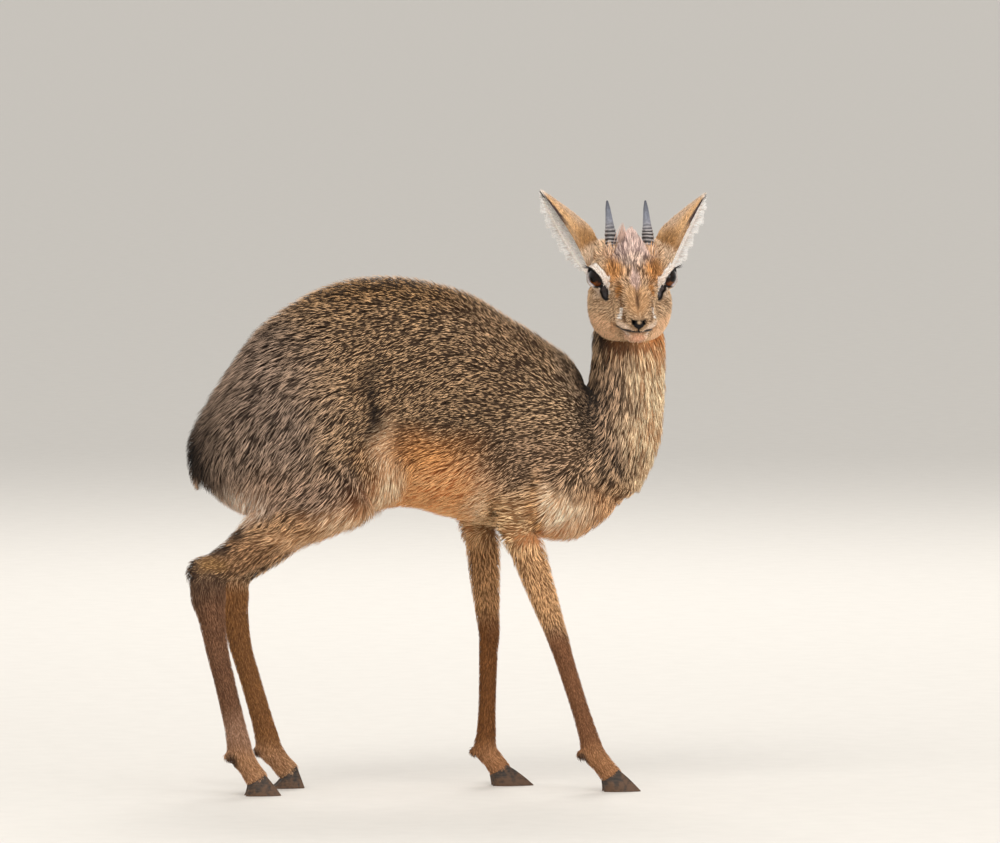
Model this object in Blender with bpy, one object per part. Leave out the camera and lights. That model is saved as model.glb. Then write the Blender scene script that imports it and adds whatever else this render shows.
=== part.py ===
# A Kirk's dik-dik standing still, its head turned to its right.
# Lengths are in millimetres here and become metres where each mesh is made.
# +X is the way the body faces, +Y is its left, +Z is up, and the hooves rest on z = 0.
import bpy
import bmesh
import numpy as np

MM = 0.001
GAP = 0.36  # between the faces of two pieces that meet
ORIGIN = np.array([13.0, -21.0, 0.0])  # the middle of the footprint, in the lengths below

# Trunk: upright sections from the rump to the breast, about one straight axis.
TRUNK_AXIS_Z = 300
TRUNK_SECTIONS = [  # x, top of the back, underside, half-width
    (-197, 332, 270, 25), (-191, 345, 262, 34), (-183, 357, 255, 41), (-173, 371, 248, 48), (-159, 391, 243, 53),
    (-143, 410, 241, 55.5), (-100, 437, 241, 58), (-61, 450, 242, 58.5), (-13, 450, 245, 59),
    (36, 436.5, 232.5, 61), (75, 413.5, 225, 59), (115, 390, 216.5, 53), (135, 371, 219, 47),
    (150, 348, 228.5, 42), (162, 330, 238, 35), (172, 318, 249, 26)]
TRUNK_END = 9  # length of the rounded end beyond the last section
TRUNK_SQUARENESS = 2.15  # 2 gives oval sections, more gives fuller corners

# Neck: x, y, z of its middle, then how far it reaches to the nape, to the throat and sideways.
NECK_SECTIONS = [
    (148, 0, 283, 46, 48, 42), (165, 0, 315, 40, 45, 37), (174, -1, 345, 36, 38, 33),
    (177.5, -3, 372, 34.5, 35, 30.5), (178.5, -6, 400, 33.5, 34, 29), (178.5, -11, 426, 30, 30, 27),
    (178.5, -17, 446, 25, 25, 24)]

# Head: measured forward, left and up from the point midway between the eyes.
EYE_MIDDLE = np.array([174.5, -55.0, 446.0])
HEAD_TURN = np.radians(-2.5)  # from straight to the body's right, towards the rump
HEAD_DROP = np.radians(22.0)
CRANIUM = [  # forward, up, reach to the top, reach to the bottom, half-width
    (28, 0, 6, 20, 12), (14, 0, 12, 22, 18), (-2, 0, 18, 24, 26.5), (-18, 0, 21.5, 27, 31.5),
    (-33, 0, 20.5, 28, 31)]
SNOUT = [
    (57, -13.5, 8, 8.5, 9.5), (50, -13, 11.5, 12, 13.5), (40, -11, 14, 15, 15.8), (26, -9, 16.5, 18, 17),
    (10, -7, 19, 21, 20), (-6, -6, 20, 24, 23)]
JAW = [
    (49, -28, 7.5, 7, 9), (41, -28, 9, 9.5, 13), (26, -28, 13, 16, 20), (8, -29, 16, 24.5, 26.5),
    (-10, -30, 20, 30, 31.5), (-26, -30, 22, 30, 32)]
CREST = [(-19, 12, 15, 15, 18), (-21, 22, 12, 12, 14.5), (-24, 31, 8, 8, 8.5), (-25.5, 36, 4.5, 4.5, 4)]
CHEEK = ((-11, 17.5, -28), (30, 19, 25))  # middle (forward, sideways, up) and its three radii
EYE_RIM = ((-4, 25, 4.5), (17, 13.5, 15))
EAR_ROOT = ((-38, 23, 8), (13, 12, 14))
LIP = ((42, 8, -18), (14, 10, 8))
EYE_CENTRE, EYE_RADIUS = (-2, 27.5, 3.5), 11.0

# Legs: x, y, z of the joints, then the limb's reach to the front, to the back and sideways at a
# place along them, where 2.5 is halfway from joint 2 to joint 3.
FORE_JOINTS = {  # shoulder, upper arm, elbow, knee, fetlock, hoof
    "right": [
        (112, -36, 308), (122, -38, 280), (76, -42, 236), (111.5, -39, 134), (143.5, -37, 35), (158, -36, 14)],
    "left": [
        (100, 36, 308), (108, 38, 276), (55, 42, 236), (61.7, 38, 134), (59, 36, 33), (70, 36, 14)]}
FORE_REACH = [
    (1.0, 28, 28, 19), (1.5, 24, 24, 18), (2.0, 19, 20, 16), (2.2, 17, 17, 14.5), (2.5, 14.3, 14.5, 12),
    (2.85, 11, 11, 10), (3.0, 9.9, 9.7, 9.5), (3.2, 8.5, 8.7, 8.2), (3.6, 7.9, 8.2, 7.6), (3.85, 8.6, 9.2, 8.6),
    (4.0, 9.5, 11.5, 9.8), (4.5, 9.2, 9.6, 9.2), (5.0, 10.5, 9, 10.5)]
HIND_JOINTS = {  # hock, middle of the cannon, fetlock, hoof
    "right": [(-198, -39, 187), (-187.3, -38, 125), (-166, -37, 37), (-153, -36, 14)],
    "left": [(-169, 39, 181), (-158.5, 38, 124), (-132, 37, 35), (-117, 36, 14)]}
HIND_REACH = [
    (0.0, 20, 14, 13.5), (0.25, 17, 15, 12.5), (0.5, 13.5, 11.8, 11), (1.0, 11, 9.4, 9), (1.3, 10.3, 8.8, 8.6),
    (1.7, 10.2, 9.4, 8.8), (1.9, 10.8, 11.3, 10), (2.0, 11, 12.5, 10.3), (2.5, 9.6, 10, 9.6), (3.0, 11, 9.5, 10.8)]
GASKIN_POINTS = {  # from the stifle to the point of the hock
    "right": [
        (-72, -39, 273), (-104, -41, 255), (-133, -41, 236), (-160, -40, 214), (-184, -39, 199), (-205, -39, 197)],
    "left": [
        (-56, 39, 269), (-86, 41, 251), (-113, 41, 231), (-137, 40, 209), (-157, 39, 193), (-177, 39, 191)]}
GASKIN_REACH = [(40, 39, 27), (35, 36, 25), (26, 30, 21), (19, 21, 16), (13.5, 17, 12), (9, 11, 9)]
HAUNCH = {"right": (-122, -33, 306), "left": (-112, 33, 306)}
HAUNCH_RADII = (70, 31, 64)
SHOULDER, SHOULDER_RADII = (100, 32, 310), (38, 21, 58)
DEWCLAW_RADII, DEWCLAW_PLACE = (4.2, 3.0, 5.0), (-11.5, 4.5, -3)  # place is from the fetlock

# Widths over which each form melts into the ones before it, and lengths of rounded ends.
HAUNCH_BLEND, GASKIN_BLEND, SHANK_BLEND, FORELEG_BLEND, DEWCLAW_BLEND = 24, 18, 9, 22, 4
NECK_BLEND, CRANIUM_BLEND, FACE_BLEND, CREST_BLEND = 18, 14, 9, 8
CHEEK_BLEND, EYE_RIM_BLEND, EAR_ROOT_BLEND, LIP_BLEND = 10, 7, 8, 6
CRANIUM_SQUARENESS, SNOUT_SQUARENESS, JAW_SQUARENESS = 2.1, 2.2, 3.4  # powers of the ovals
NECK_END, CRANIUM_END, MUZZLE_END, CREST_END, GASKIN_END, LEG_END = 14, 19, 7, 4, 12, 6

# Hooves: x of the heel and of the toe, and y between the two claws.
HOOVES = {
    "right_fore": (151.5, 185, -36), "left_fore": (64, 101, 36),
    "right_hind": (-163, -131, -36), "left_hind": (-134, -102, 36)}
CLAW_HALF_WIDTH = 4.9
CLAW_NARROWING = 0.28  # share of the width lost towards the toe
CLAW_TOP_SHARE, CLAW_SWELL = 0.93, 0.28
CLAW_RINGS = (0, 0.35, 0.72, 1)  # from the coronet to the sole
CORONET_DROP, CORONET_HALF_LENGTH = 1.5, 9.2
CLAW_SPREAD = 5.5  # from the middle of the foot to the middle of a claw

# Ears and horns, in the head's forward, left and up.
EARS = {  # middle of the mouth of the cup at the root, then the tip
    "right": ((-36, -42, 4), (-68, -75.5, 54.5)), "left": ((-36, 40.5, 4), (-66, 68.5, 52))}
EAR_WIDTHS = [  # place along the ear, half the width of the cup's mouth, depth of the cup
    (0, 12, 19), (0.12, 14, 22), (0.3, 15, 22.5), (0.5, 13.5, 18), (0.7, 10, 12), (0.88, 5.8, 6.2), (1.0, 2.2, 2.2)]
EAR_TURN = np.radians(17)  # how far the cup's mouth is turned from straight sideways to the front
EAR_THICK = 1.7
HORN_ROOTS = {"right": (-15, -15, 8), "left": (-15, 16.5, 8)}
HORN_TIPS = {"right": (-62, -18, 49.5), "left": (-62, 15.5, 49.5)}
HORN_RADII = [(0, 6.2), (0.3, 5.6), (0.48, 5.1), (0.6, 4.0), (0.77, 2.9), (0.88, 2.3), (1.0, 0.9)]
HORN_RINGS, HORN_RING_RISE = 5, 0.5
HORN_RINGED = (0.24, 0.62)  # the part of the horn's length that has rings

# Tail: x, z of its middle, then its radius.
TAIL = [(-184, 322, 9), (-194, 312, 9.5), (-200, 297, 8.5), (-201.5, 282, 6.5), (-200, 267, 3.2)]


def clear_scene():
    for item in list(bpy.data.objects):
        bpy.data.objects.remove(item, do_unlink=True)


def head_axes():
    left = np.array([np.cos(HEAD_TURN), np.sin(HEAD_TURN), 0.0])
    level = np.array([np.sin(HEAD_TURN), -np.cos(HEAD_TURN), 0.0])
    forward = np.cos(HEAD_DROP) * level - np.sin(HEAD_DROP) * np.array([0, 0, 1.0])
    return np.array([forward, left, np.cross(forward, left)])


HEAD_AXES = head_axes()


def head_point(forward, left, up):
    return EYE_MIDDLE + np.array([forward, left, up]) @ HEAD_AXES


# The flesh is one field: the signed distance to limbs and balls, joined with soft edges.

def smooth_rows(rows, per_span=4):
    """A smooth curve through the rows, each span split in equal steps."""
    rows = np.asarray(rows, float)
    ends = np.vstack([2 * rows[0] - rows[1], rows, 2 * rows[-1] - rows[-2]])
    t = np.linspace(0, 1, per_span, endpoint=False)[:, None]
    spans = []
    for a, b, c, d in zip(ends[:-3], ends[1:-2], ends[2:-1], ends[3:]):
        spans.append(b + 0.5 * t * (c - a + t * (2 * a - 5 * b + 4 * c - d + t * (3 * (b - c) + d - a))))
    return np.vstack(spans + [rows[-1:]])


def limb(rows, side, cap, power, blend):
    """Sections carried along a line. A row is x, y, z, then the reach along the normal, against it and sideways."""
    rows = smooth_rows(rows)
    side = np.asarray(side, float)
    normal = np.cross(np.gradient(rows[:, :3], axis=0), side)
    normal /= np.linalg.norm(normal, axis=1)[:, None]
    far = max(rows[:, 3:].max(), cap)
    line = rows[:, :3]
    return dict(line=line, reach=rows[:, 3:], normal=normal, side=side, cap=cap, power=power, blend=blend,
                low=line.min(axis=0) - far, high=line.max(axis=0) + far)


def ball(centre, radii, axes, blend):
    centre, radii = np.asarray(centre, float), np.asarray(radii, float)
    far = radii.max()
    return dict(centre=centre, radii=radii, axes=axes, blend=blend, low=centre - far, high=centre + far)


def limb_distance(points, form):
    """Distance along the line from the nearest place on the limb's axis, scaled by its section there."""
    line, reach, normal = form["line"], form["reach"], form["normal"]
    step = line[1:] - line[:-1]
    gap = points[:, None, :] - line[None, :-1, :]
    t = np.clip((gap * step).sum(axis=2) / (step ** 2).sum(axis=1), 0, 1)
    offset = gap - t[..., None] * step
    nearest = (offset ** 2).sum(axis=2).argmin(axis=1)
    each = np.arange(len(points))
    offset, t = offset[each, nearest], t[each, nearest, None]
    across = normal[nearest] * (1 - t) + normal[nearest + 1] * t
    across /= np.linalg.norm(across, axis=1)[:, None]
    size = reach[nearest] * (1 - t) + reach[nearest + 1] * t
    high, wide = (offset * across).sum(axis=1), offset @ form["side"]
    length = np.sqrt((offset ** 2).sum(axis=1)) + 1e-6
    ahead = np.sqrt(np.maximum(length ** 2 - high ** 2 - wide ** 2, 0))
    power = form["power"]
    tall = np.where(high > 0, size[:, 0], size[:, 1])
    ratio = np.abs(high / tall) ** power + np.abs(wide / size[:, 2]) ** power + (ahead / form["cap"]) ** power
    return length - length / (ratio ** (1 / power) + 1e-6)


def ball_distance(points, form):
    local = (points - form["centre"]) @ form["axes"].T
    near = np.linalg.norm(local / form["radii"], axis=1)
    return near * (near - 1) / (np.linalg.norm(local / form["radii"] ** 2, axis=1) + 1e-9)


def soft_min(a, b, width):
    """The smaller of two distances, with the edge between them rounded over this width."""
    share = np.clip(0.5 + 0.5 * (b - a) / width, 0, 1)
    return b * (1 - share) + a * share - width * share * (1 - share)


def along(joints, place):
    joints = np.asarray(joints, float)
    first = min(int(place), len(joints) - 2)
    return joints[first] + (joints[first + 1] - joints[first]) * (place - first)


def leg_rows(joints, reaches):
    return [(*along(joints, place), *reach) for place, *reach in reaches]


def head_rows(table):
    return [(*head_point(forward, 0, up), *reach) for forward, up, *reach in reversed(table)]


def flesh_forms():
    sideways, level = (0, 1, 0), np.eye(3)
    trunk = [(x, 0, TRUNK_AXIS_Z, top - TRUNK_AXIS_Z, TRUNK_AXIS_Z - under, half)
             for x, top, under, half in TRUNK_SECTIONS]
    forms = [limb(trunk, sideways, TRUNK_END, TRUNK_SQUARENESS, 0)]
    for name, sign in (("right", -1), ("left", 1)):
        gaskin = [(*point, *reach) for point, reach in zip(GASKIN_POINTS[name], GASKIN_REACH)]
        forms.append(ball(HAUNCH[name], HAUNCH_RADII, level, HAUNCH_BLEND))
        forms.append(limb(gaskin, sideways, GASKIN_END, 2.0, GASKIN_BLEND))
        forms.append(limb(leg_rows(HIND_JOINTS[name], HIND_REACH), sideways, LEG_END, 2.0, SHANK_BLEND))
        forms.append(limb(leg_rows(FORE_JOINTS[name], FORE_REACH), sideways, LEG_END, 2.0, FORELEG_BLEND))
        forms.append(ball(np.multiply(SHOULDER, (1, sign, 1)), SHOULDER_RADII, level, HAUNCH_BLEND))
        for fetlock in (HIND_JOINTS[name][2], FORE_JOINTS[name][4]):
            for apart in (-1, 1):
                place = np.add(fetlock, np.multiply(DEWCLAW_PLACE, (1, apart, 1)))
                forms.append(ball(place, DEWCLAW_RADII, level, DEWCLAW_BLEND))
    forms.append(limb(NECK_SECTIONS, sideways, NECK_END, 2.0, NECK_BLEND))
    across_head = HEAD_AXES[1]
    forms.append(limb(head_rows(CRANIUM), across_head, CRANIUM_END, CRANIUM_SQUARENESS, CRANIUM_BLEND))
    forms.append(limb(head_rows(SNOUT), across_head, MUZZLE_END, SNOUT_SQUARENESS, FACE_BLEND))
    forms.append(limb(head_rows(JAW), across_head, MUZZLE_END, JAW_SQUARENESS, FACE_BLEND))
    forms.append(limb(head_rows(CREST)[::-1], across_head, CREST_END, 2.0, CREST_BLEND))
    for sign in (-1, 1):
        for (middle, radii), blend in (
                (CHEEK, CHEEK_BLEND), (EYE_RIM, EYE_RIM_BLEND), (EAR_ROOT, EAR_ROOT_BLEND), (LIP, LIP_BLEND)):
            forms.append(ball(head_point(*np.multiply(middle, (1, sign, 1))), radii, HEAD_AXES, blend))
    return forms


FORMS = flesh_forms()
FORM_MARGIN = 45  # beyond this distance a form can't change the surface


def flesh(points):
    """Signed distance to the animal's outline out to the tips of its coat, negative inside."""
    distance = np.full(len(points), 1e3)
    for start in range(0, len(points), 40000):
        some = points[start:start + 40000]
        value = limb_distance(some, FORMS[0])
        for form in FORMS[1:]:
            near = ((some > form["low"] - FORM_MARGIN) & (some < form["high"] + FORM_MARGIN)).all(axis=1)
            if near.any():
                measure = limb_distance if "line" in form else ball_distance
                value[near] = soft_min(measure(some[near], form), value[near], form["blend"])
        distance[start:start + 40000] = value
    return distance


def flesh_slope(points):
    slope = np.stack([flesh(points + step) - flesh(points - step) for step in 0.5 * np.eye(3)], axis=1)
    return slope


def surface_net(low, high, cell):
    """Faces round every grid edge that the flesh's surface crosses, their corners moved onto the surface."""
    low = np.asarray(low, float)
    count = np.ceil((np.asarray(high) - low) / cell).astype(int) + 1
    coarse = 3
    rough_axes = [low[i] + cell * np.arange(0, count[i], coarse) for i in range(3)]
    rough = flesh(np.stack(np.meshgrid(*rough_axes, indexing="ij"), axis=-1).reshape(-1, 3))
    rough = rough.reshape([len(axis) for axis in rough_axes])
    nearest = [np.clip((np.arange(count[i]) + coarse // 2) // coarse, 0, rough.shape[i] - 1) for i in range(3)]
    values = rough[np.ix_(*nearest)]
    close = np.abs(values) < 2 * coarse * cell
    values[close] = flesh(low + cell * np.argwhere(close))
    for axis in range(3):  # the box's own walls close the mesh where the flesh goes on past them
        for end in (0, -1):
            index = [slice(None)] * 3
            index[axis] = end
            values[tuple(index)] = cell
    inside = values < 0
    corners = [np.array((i, j, k)) for i in (0, 1) for j in (0, 1) for k in (0, 1)]
    total = 0
    for corner in corners:
        window = tuple(slice(corner[axis], values.shape[axis] - 1 + corner[axis]) for axis in range(3))
        total = total + inside[window].astype(int)
    active = (total > 0) & (total < 8)
    number = np.full(active.shape, -1)
    number[active] = np.arange(active.sum())
    where = np.argwhere(active)
    crossing, crossings = np.zeros((len(where), 3)), np.zeros(len(where))
    for axis in range(3):
        for corner in corners:
            if corner[axis]:
                continue
            other = corner + np.eye(3, dtype=int)[axis]
            first, second = values[tuple((where + corner).T)], values[tuple((where + other).T)]
            crossed = (first < 0) != (second < 0)
            share = np.where(crossed, first / np.where(first == second, 1, first - second), 0)
            crossing += (corner + share[:, None] * np.eye(3)[axis]) * crossed[:, None]
            crossings += crossed
    points = low + cell * (where + crossing / crossings[:, None])
    faces = []
    for axis in range(3):
        b, d = (axis + 1) % 3, (axis + 2) % 3
        lower, upper = [slice(None)] * 3, [slice(None)] * 3
        lower[axis], upper[axis] = slice(0, -1), slice(1, None)
        edge = np.argwhere(inside[tuple(lower)] != inside[tuple(upper)])
        ring = []
        for back_b, back_d in ((1, 1), (0, 1), (0, 0), (1, 0)):
            cube = edge.copy()
            cube[:, b] -= back_b
            cube[:, d] -= back_d
            ring.append(number[tuple(cube.T)])
        quads = np.stack(ring, axis=1)
        flip = ~inside[tuple(edge.T)]
        quads[flip] = quads[flip][:, ::-1]
        faces.append(quads)
    walls = ((points - low < 1.5 * cell) | (low + cell * (count - 1) - points < 1.5 * cell)).any(axis=1)
    for _ in range(3):
        slope = flesh_slope(points)
        step = -flesh(points)[:, None] * slope / ((slope ** 2).sum(axis=1)[:, None] + 1e-9)
        length = np.linalg.norm(step, axis=1)[:, None]
        points += np.where(walls[:, None], 0, step * np.minimum(1, 0.5 * cell / (length + 1e-9)))
    return points, np.vstack(faces)


# Meshes, cuts and materials.

def material(name, colour, roughness):
    made = bpy.data.materials.new(name)
    made.use_nodes = True
    shader = made.node_tree.nodes["Principled BSDF"]
    shader.inputs["Base Color"].default_value = (*colour, 1)
    shader.inputs["Roughness"].default_value = roughness
    made.diffuse_color = (*colour, 1)
    return made


def mesh_object(name, points, faces, colour, roughness=0.85):
    """A closed mesh from points in the lengths above, moved to the origin and turned to metres."""
    data = bpy.data.meshes.new(name)
    corners = ((np.asarray(points) - ORIGIN) * MM).tolist()
    data.from_pydata(corners, [], [[int(corner) for corner in face] for face in faces])
    data.update()
    made = bpy.data.objects.new(name, data)
    bpy.context.scene.collection.objects.link(made)
    data.materials.append(material(name, colour, roughness))
    data.shade_smooth()
    return made


def applied(item):
    """The object's mesh with its modifiers worked into it."""
    graph = bpy.context.evaluated_depsgraph_get()
    data = bpy.data.meshes.new_from_object(item.evaluated_get(graph))
    item.modifiers.clear()
    item.data = data


def decimated(item, triangles):
    faces = sum(len(face.vertices) - 2 for face in item.data.polygons)
    thinner = item.modifiers.new("fewer", "DECIMATE")
    thinner.ratio = triangles / faces
    applied(item)


def half(mesh, point, normal):
    """The part of the mesh that lies against the normal from this point, closed with flat faces."""
    normal = np.asarray(normal, float) / np.linalg.norm(normal)
    point = (np.asarray(point, float) - ORIGIN - normal * GAP / 2) * MM
    piece = mesh.copy()
    cut = bmesh.ops.bisect_plane(piece, geom=piece.verts[:] + piece.edges[:] + piece.faces[:], dist=1e-7,
                                 plane_co=point, plane_no=normal, clear_outer=True)
    edges = [part for part in cut["geom_cut"] if isinstance(part, bmesh.types.BMEdge)]
    bmesh.ops.holes_fill(piece, edges=edges, sides=0)
    bmesh.ops.triangulate(piece, faces=[face for face in piece.faces if len(face.verts) > 3])
    return piece


def halves(mesh, point, normal):
    """Both parts of the mesh at a thin cut, first the one against the normal."""
    return half(mesh, point, normal), half(mesh, point, np.negative(normal))


def largest_part(mesh):
    """The connected part with the most corners."""
    seen, best = set(), []
    for start in mesh.verts:
        if start in seen:
            continue
        seen.add(start)
        group = [start]
        for corner in group:
            for edge in corner.link_edges:
                other = edge.other_vert(corner)
                if other not in seen:
                    seen.add(other)
                    group.append(other)
        best = max(best, group, key=len)
    keep = set(best)
    bmesh.ops.delete(mesh, geom=[corner for corner in mesh.verts if corner not in keep], context="VERTS")
    return mesh


def flesh_mesh(low, high, cell, triangles):
    points, faces = surface_net(low, high, cell)
    draft = mesh_object("draft", points, faces, (0.5, 0.5, 0.5))
    decimated(draft, triangles)
    mesh = bmesh.new()
    mesh.from_mesh(draft.data)
    bpy.data.objects.remove(draft)
    return mesh


def node(name, mesh, colour, roughness=0.9):
    data = bpy.data.meshes.new(name)
    largest_part(mesh).to_mesh(data)
    made = bpy.data.objects.new(name, data)
    bpy.context.scene.collection.objects.link(made)
    data.materials.append(material(name, colour, roughness))
    data.shade_smooth()
    return made


def grown(item, amount):
    """A cutter a little larger than the item on every side."""
    mesh = bmesh.new()
    mesh.from_mesh(item.data)
    mesh.normal_update()
    for corner in mesh.verts:
        corner.co += corner.normal * amount * MM * corner.calc_shell_factor()
    data = bpy.data.meshes.new("cutter")
    mesh.to_mesh(data)
    made = bpy.data.objects.new("cutter", data)
    bpy.context.scene.collection.objects.link(made)
    made.hide_render = True
    made.display_type = "WIRE"
    return made


def less(item, cutter):
    """Takes the cutter's shape out of the item."""
    cut = item.modifiers.new("less", "BOOLEAN")
    cut.operation = "DIFFERENCE"
    cut.solver = "EXACT"
    cut.object = cutter
    applied(item)
    mesh = bmesh.new()
    mesh.from_mesh(item.data)
    largest_part(mesh)
    bmesh.ops.triangulate(mesh, faces=mesh.faces[:])
    mesh.to_mesh(item.data)


def lofted(rings):
    """Points and faces of closed rings joined in order, with a flat face over each end."""
    rings = np.asarray(rings, float)
    count, around = rings.shape[:2]
    faces = []
    for row in range(count - 1):
        for k in range(around):
            first, second = row * around + k, row * around + (k + 1) % around
            faces.append((first, second, second + around, first + around))
    faces.append(tuple(range(around))[::-1])
    faces.append(tuple((count - 1) * around + k for k in range(around)))
    return rings.reshape(-1, 3), faces


def outward(item):
    """Turns the faces of a closed mesh to point out."""
    mesh = bmesh.new()
    mesh.from_mesh(item.data)
    bmesh.ops.recalc_face_normals(mesh, faces=mesh.faces[:])
    if mesh.calc_volume(signed=True) < 0:
        bmesh.ops.reverse_faces(mesh, faces=mesh.faces[:])
    mesh.to_mesh(item.data)


# Body, neck and head.
UPPER_LEG, LOWER_LEG = (0.30, 0.19, 0.10), (0.16, 0.09, 0.05)
HIDE = {
    "head": (0.38, 0.23, 0.11), "neck": (0.30, 0.19, 0.11), "trunk": (0.24, 0.18, 0.12), "rump": (0.22, 0.17, 0.12)}
NECK_CUT = ((145, 0, 358), (110, 0, 43))  # a point, then the normal, which is towards the head
HEAD_CUT = ((178, -10, 411), (0, -40, 72))
RUMP_CUT = ((-28, 0, 340), (233, 0, 17))
THIGH_CUT = ((-100, 0, 251), (0, 0, -1))
ELBOW_CUT = ((66, 0, 223.5), (-25, 0, -106))


def build_body():
    """The trunk, rump, neck and head, parted with thin cuts."""
    body = flesh_mesh((-222, -82, 200), (232, 82, 470), 5.5, 2160)
    back, front = halves(body, *NECK_CUT)
    rump, trunk = halves(back, *RUMP_CUT)
    head = half(flesh_mesh((125, -140, 370), (235, 40, 506), 3.1, 1970), HEAD_CUT[0], np.negative(HEAD_CUT[1]))
    return {"head": node("head", head, HIDE["head"]),
            "neck": node("neck", half(front, *HEAD_CUT), HIDE["neck"]),
            "trunk": node("trunk", half(trunk, *ELBOW_CUT), HIDE["trunk"]),
            "rump": node("rump", half(rump, *THIGH_CUT), HIDE["rump"])}


def coronet(joints):
    """Where the hoof begins: a point of the pastern's axis and the axis's direction."""
    fetlock, hoof = np.asarray(joints[-2], float), np.asarray(joints[-1], float)
    direction = (hoof - fetlock) / np.linalg.norm(hoof - fetlock)
    return hoof + direction * CORONET_DROP, direction


FORE_CUTS = (3.0, 3.86)  # knee and fetlock, as places along the joints
HIND_CUTS = (0.42, 1.84)


def build_leg(name, mesh, joints, cuts):
    """One leg parted at its joints, from the top down to the coronet."""
    rest = half(mesh, *coronet(joints))
    for label, place, colour in zip(("upper", "lower"), cuts, (UPPER_LEG, LOWER_LEG)):
        point = along(joints, place)
        piece, rest = halves(rest, point, along(joints, place + 0.1) - point)
        node(f"{name}_{label}", piece, colour)
    node(f"{name}_pastern", rest, LOWER_LEG)


def build_legs():
    hind = flesh_mesh((-228, -76, -6), (-10, 76, 262), 3.3, 1550)
    hind = half(half(hind, THIGH_CUT[0], np.negative(THIGH_CUT[1])), *RUMP_CUT)
    fore = half(flesh_mesh((25, -70, -6), (190, 70, 246), 3.3, 1250), ELBOW_CUT[0], np.negative(ELBOW_CUT[1]))
    both = ((hind, HIND_JOINTS, HIND_CUTS, "hind"), (fore, FORE_JOINTS, FORE_CUTS, "fore"))
    for pair, joints, cuts, word in both:
        right, left = halves(pair, (0, 0, 0), (0, 1, 0))
        build_leg(f"right_{word}", right, joints["right"], cuts)
        build_leg(f"left_{word}", left, joints["left"], cuts)


def build_claw(name, joints, heel, toe, middle, sign):
    """A claw of a cloven hoof: egg-shaped rings from the coronet's slope down to the flat sole."""
    start, direction = coronet(joints)
    start = start + direction * GAP
    slope = np.array([-direction[2], 0, direction[0]])
    angle = np.linspace(0, 2 * np.pi, 12, endpoint=False)
    across = np.sin(angle) * (1 - CLAW_NARROWING * np.cos(angle))
    sole = np.array([(heel + toe) / 2, 0, 0])
    rings = []
    for t in CLAW_RINGS:
        length = (1 - t) * CORONET_HALF_LENGTH + t * (toe - heel) / 2
        run = (1 - t) * slope + t * np.array([1.0, 0, 0])
        centre = (1 - t) * np.array([start[0], 0, start[2]]) + t * sole
        width = CLAW_HALF_WIDTH * (CLAW_TOP_SHARE + CLAW_SWELL * t * (1 - t))
        ring = centre + length * np.cos(angle)[:, None] * run + width * across[:, None] * np.array([0, 1.0, 0])
        ring[:, 1] += middle + sign * CLAW_SPREAD
        rings.append(ring[::-1])
    points, faces = lofted(rings)
    mesh_object(name, points, faces, (0.05, 0.04, 0.035), 0.5)


def build_hooves():
    for place, (heel, toe, middle) in HOOVES.items():
        side, word = place.split("_")
        joints = (FORE_JOINTS if word == "fore" else HIND_JOINTS)[side]
        for claw, sign in (("inner", -np.sign(middle)), ("outer", np.sign(middle))):
            build_claw(f"{place}_{claw}_claw", joints, heel, toe, middle, sign)


def ear_ring(root, tip, sign, place, arcs=8):
    """One section of the ear's cup: half an oval open to the side, with a wall of even thickness."""
    root, tip = np.array(root, float), np.array(tip, float)
    axis = (tip - root) / np.linalg.norm(tip - root)
    outward = np.array([0.0, sign, 0.0])
    outward -= axis * (outward @ axis)
    outward /= np.linalg.norm(outward)
    ahead = np.cross(outward, axis) * sign
    mouth = np.cos(EAR_TURN) * outward + np.sin(EAR_TURN) * ahead
    rim = np.cross(axis, mouth)
    stations = np.transpose(EAR_WIDTHS)
    width, depth = np.interp(place, stations[0], stations[1]), np.interp(place, stations[0], stations[2])
    thick = min(EAR_THICK, 0.45 * width)
    angle = np.linspace(-np.pi / 2, np.pi / 2, arcs)[:, None]
    outer = -depth * np.cos(angle) * mouth + width * np.sin(angle) * rim
    inner = (-(depth - thick) * np.cos(angle) * mouth + (width - thick) * np.sin(angle) * rim)[::-1]
    return root + (tip - root) * place + np.vstack([outer, inner + 0.25 * thick * mouth])


def build_ear(name, head):
    root, tip = EARS[name]
    sign = np.sign(root[1])
    places = np.linspace(0, 1, 9)
    rings = [head_point(0, 0, 0) + ear_ring(root, tip, sign, place) @ HEAD_AXES for place in places]
    points, faces = lofted(rings)
    made = mesh_object(f"{name}_ear", points, faces, (0.5, 0.33, 0.18))
    outward(made)
    less(made, head)


def build_horn(name, head):
    """A straight, tapering horn with rings over its lower half."""
    root, tip = np.array(HORN_ROOTS[name], float), np.array(HORN_TIPS[name], float)
    axis = (tip - root) / np.linalg.norm(tip - root)
    across = np.cross(axis, (0, 1.0, 0))
    across /= np.linalg.norm(across)
    other = np.cross(axis, across)
    angle = np.linspace(0, 2 * np.pi, 8, endpoint=False)[:, None]
    rings = []
    ringed = np.linspace(*HORN_RINGED, 2 * HORN_RINGS + 1)
    for place in np.concatenate([(0, 0.16), ringed, (0.75, 0.88, 1.0)]):
        radius = np.interp(place, *np.transpose(HORN_RADII))
        if HORN_RINGED[0] <= place <= HORN_RINGED[1]:
            turn = 2 * np.pi * HORN_RINGS * (place - HORN_RINGED[0]) / (HORN_RINGED[1] - HORN_RINGED[0])
            radius += HORN_RING_RISE * np.cos(turn)
        ring = root + (tip - root) * place + radius * (np.cos(angle) * across + np.sin(angle) * other)
        rings.append(head_point(0, 0, 0) + ring @ HEAD_AXES)
    points, faces = lofted(rings)
    made = mesh_object(f"{name}_horn", points, faces, (0.12, 0.12, 0.13), 0.4)
    outward(made)
    less(made, head)


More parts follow.
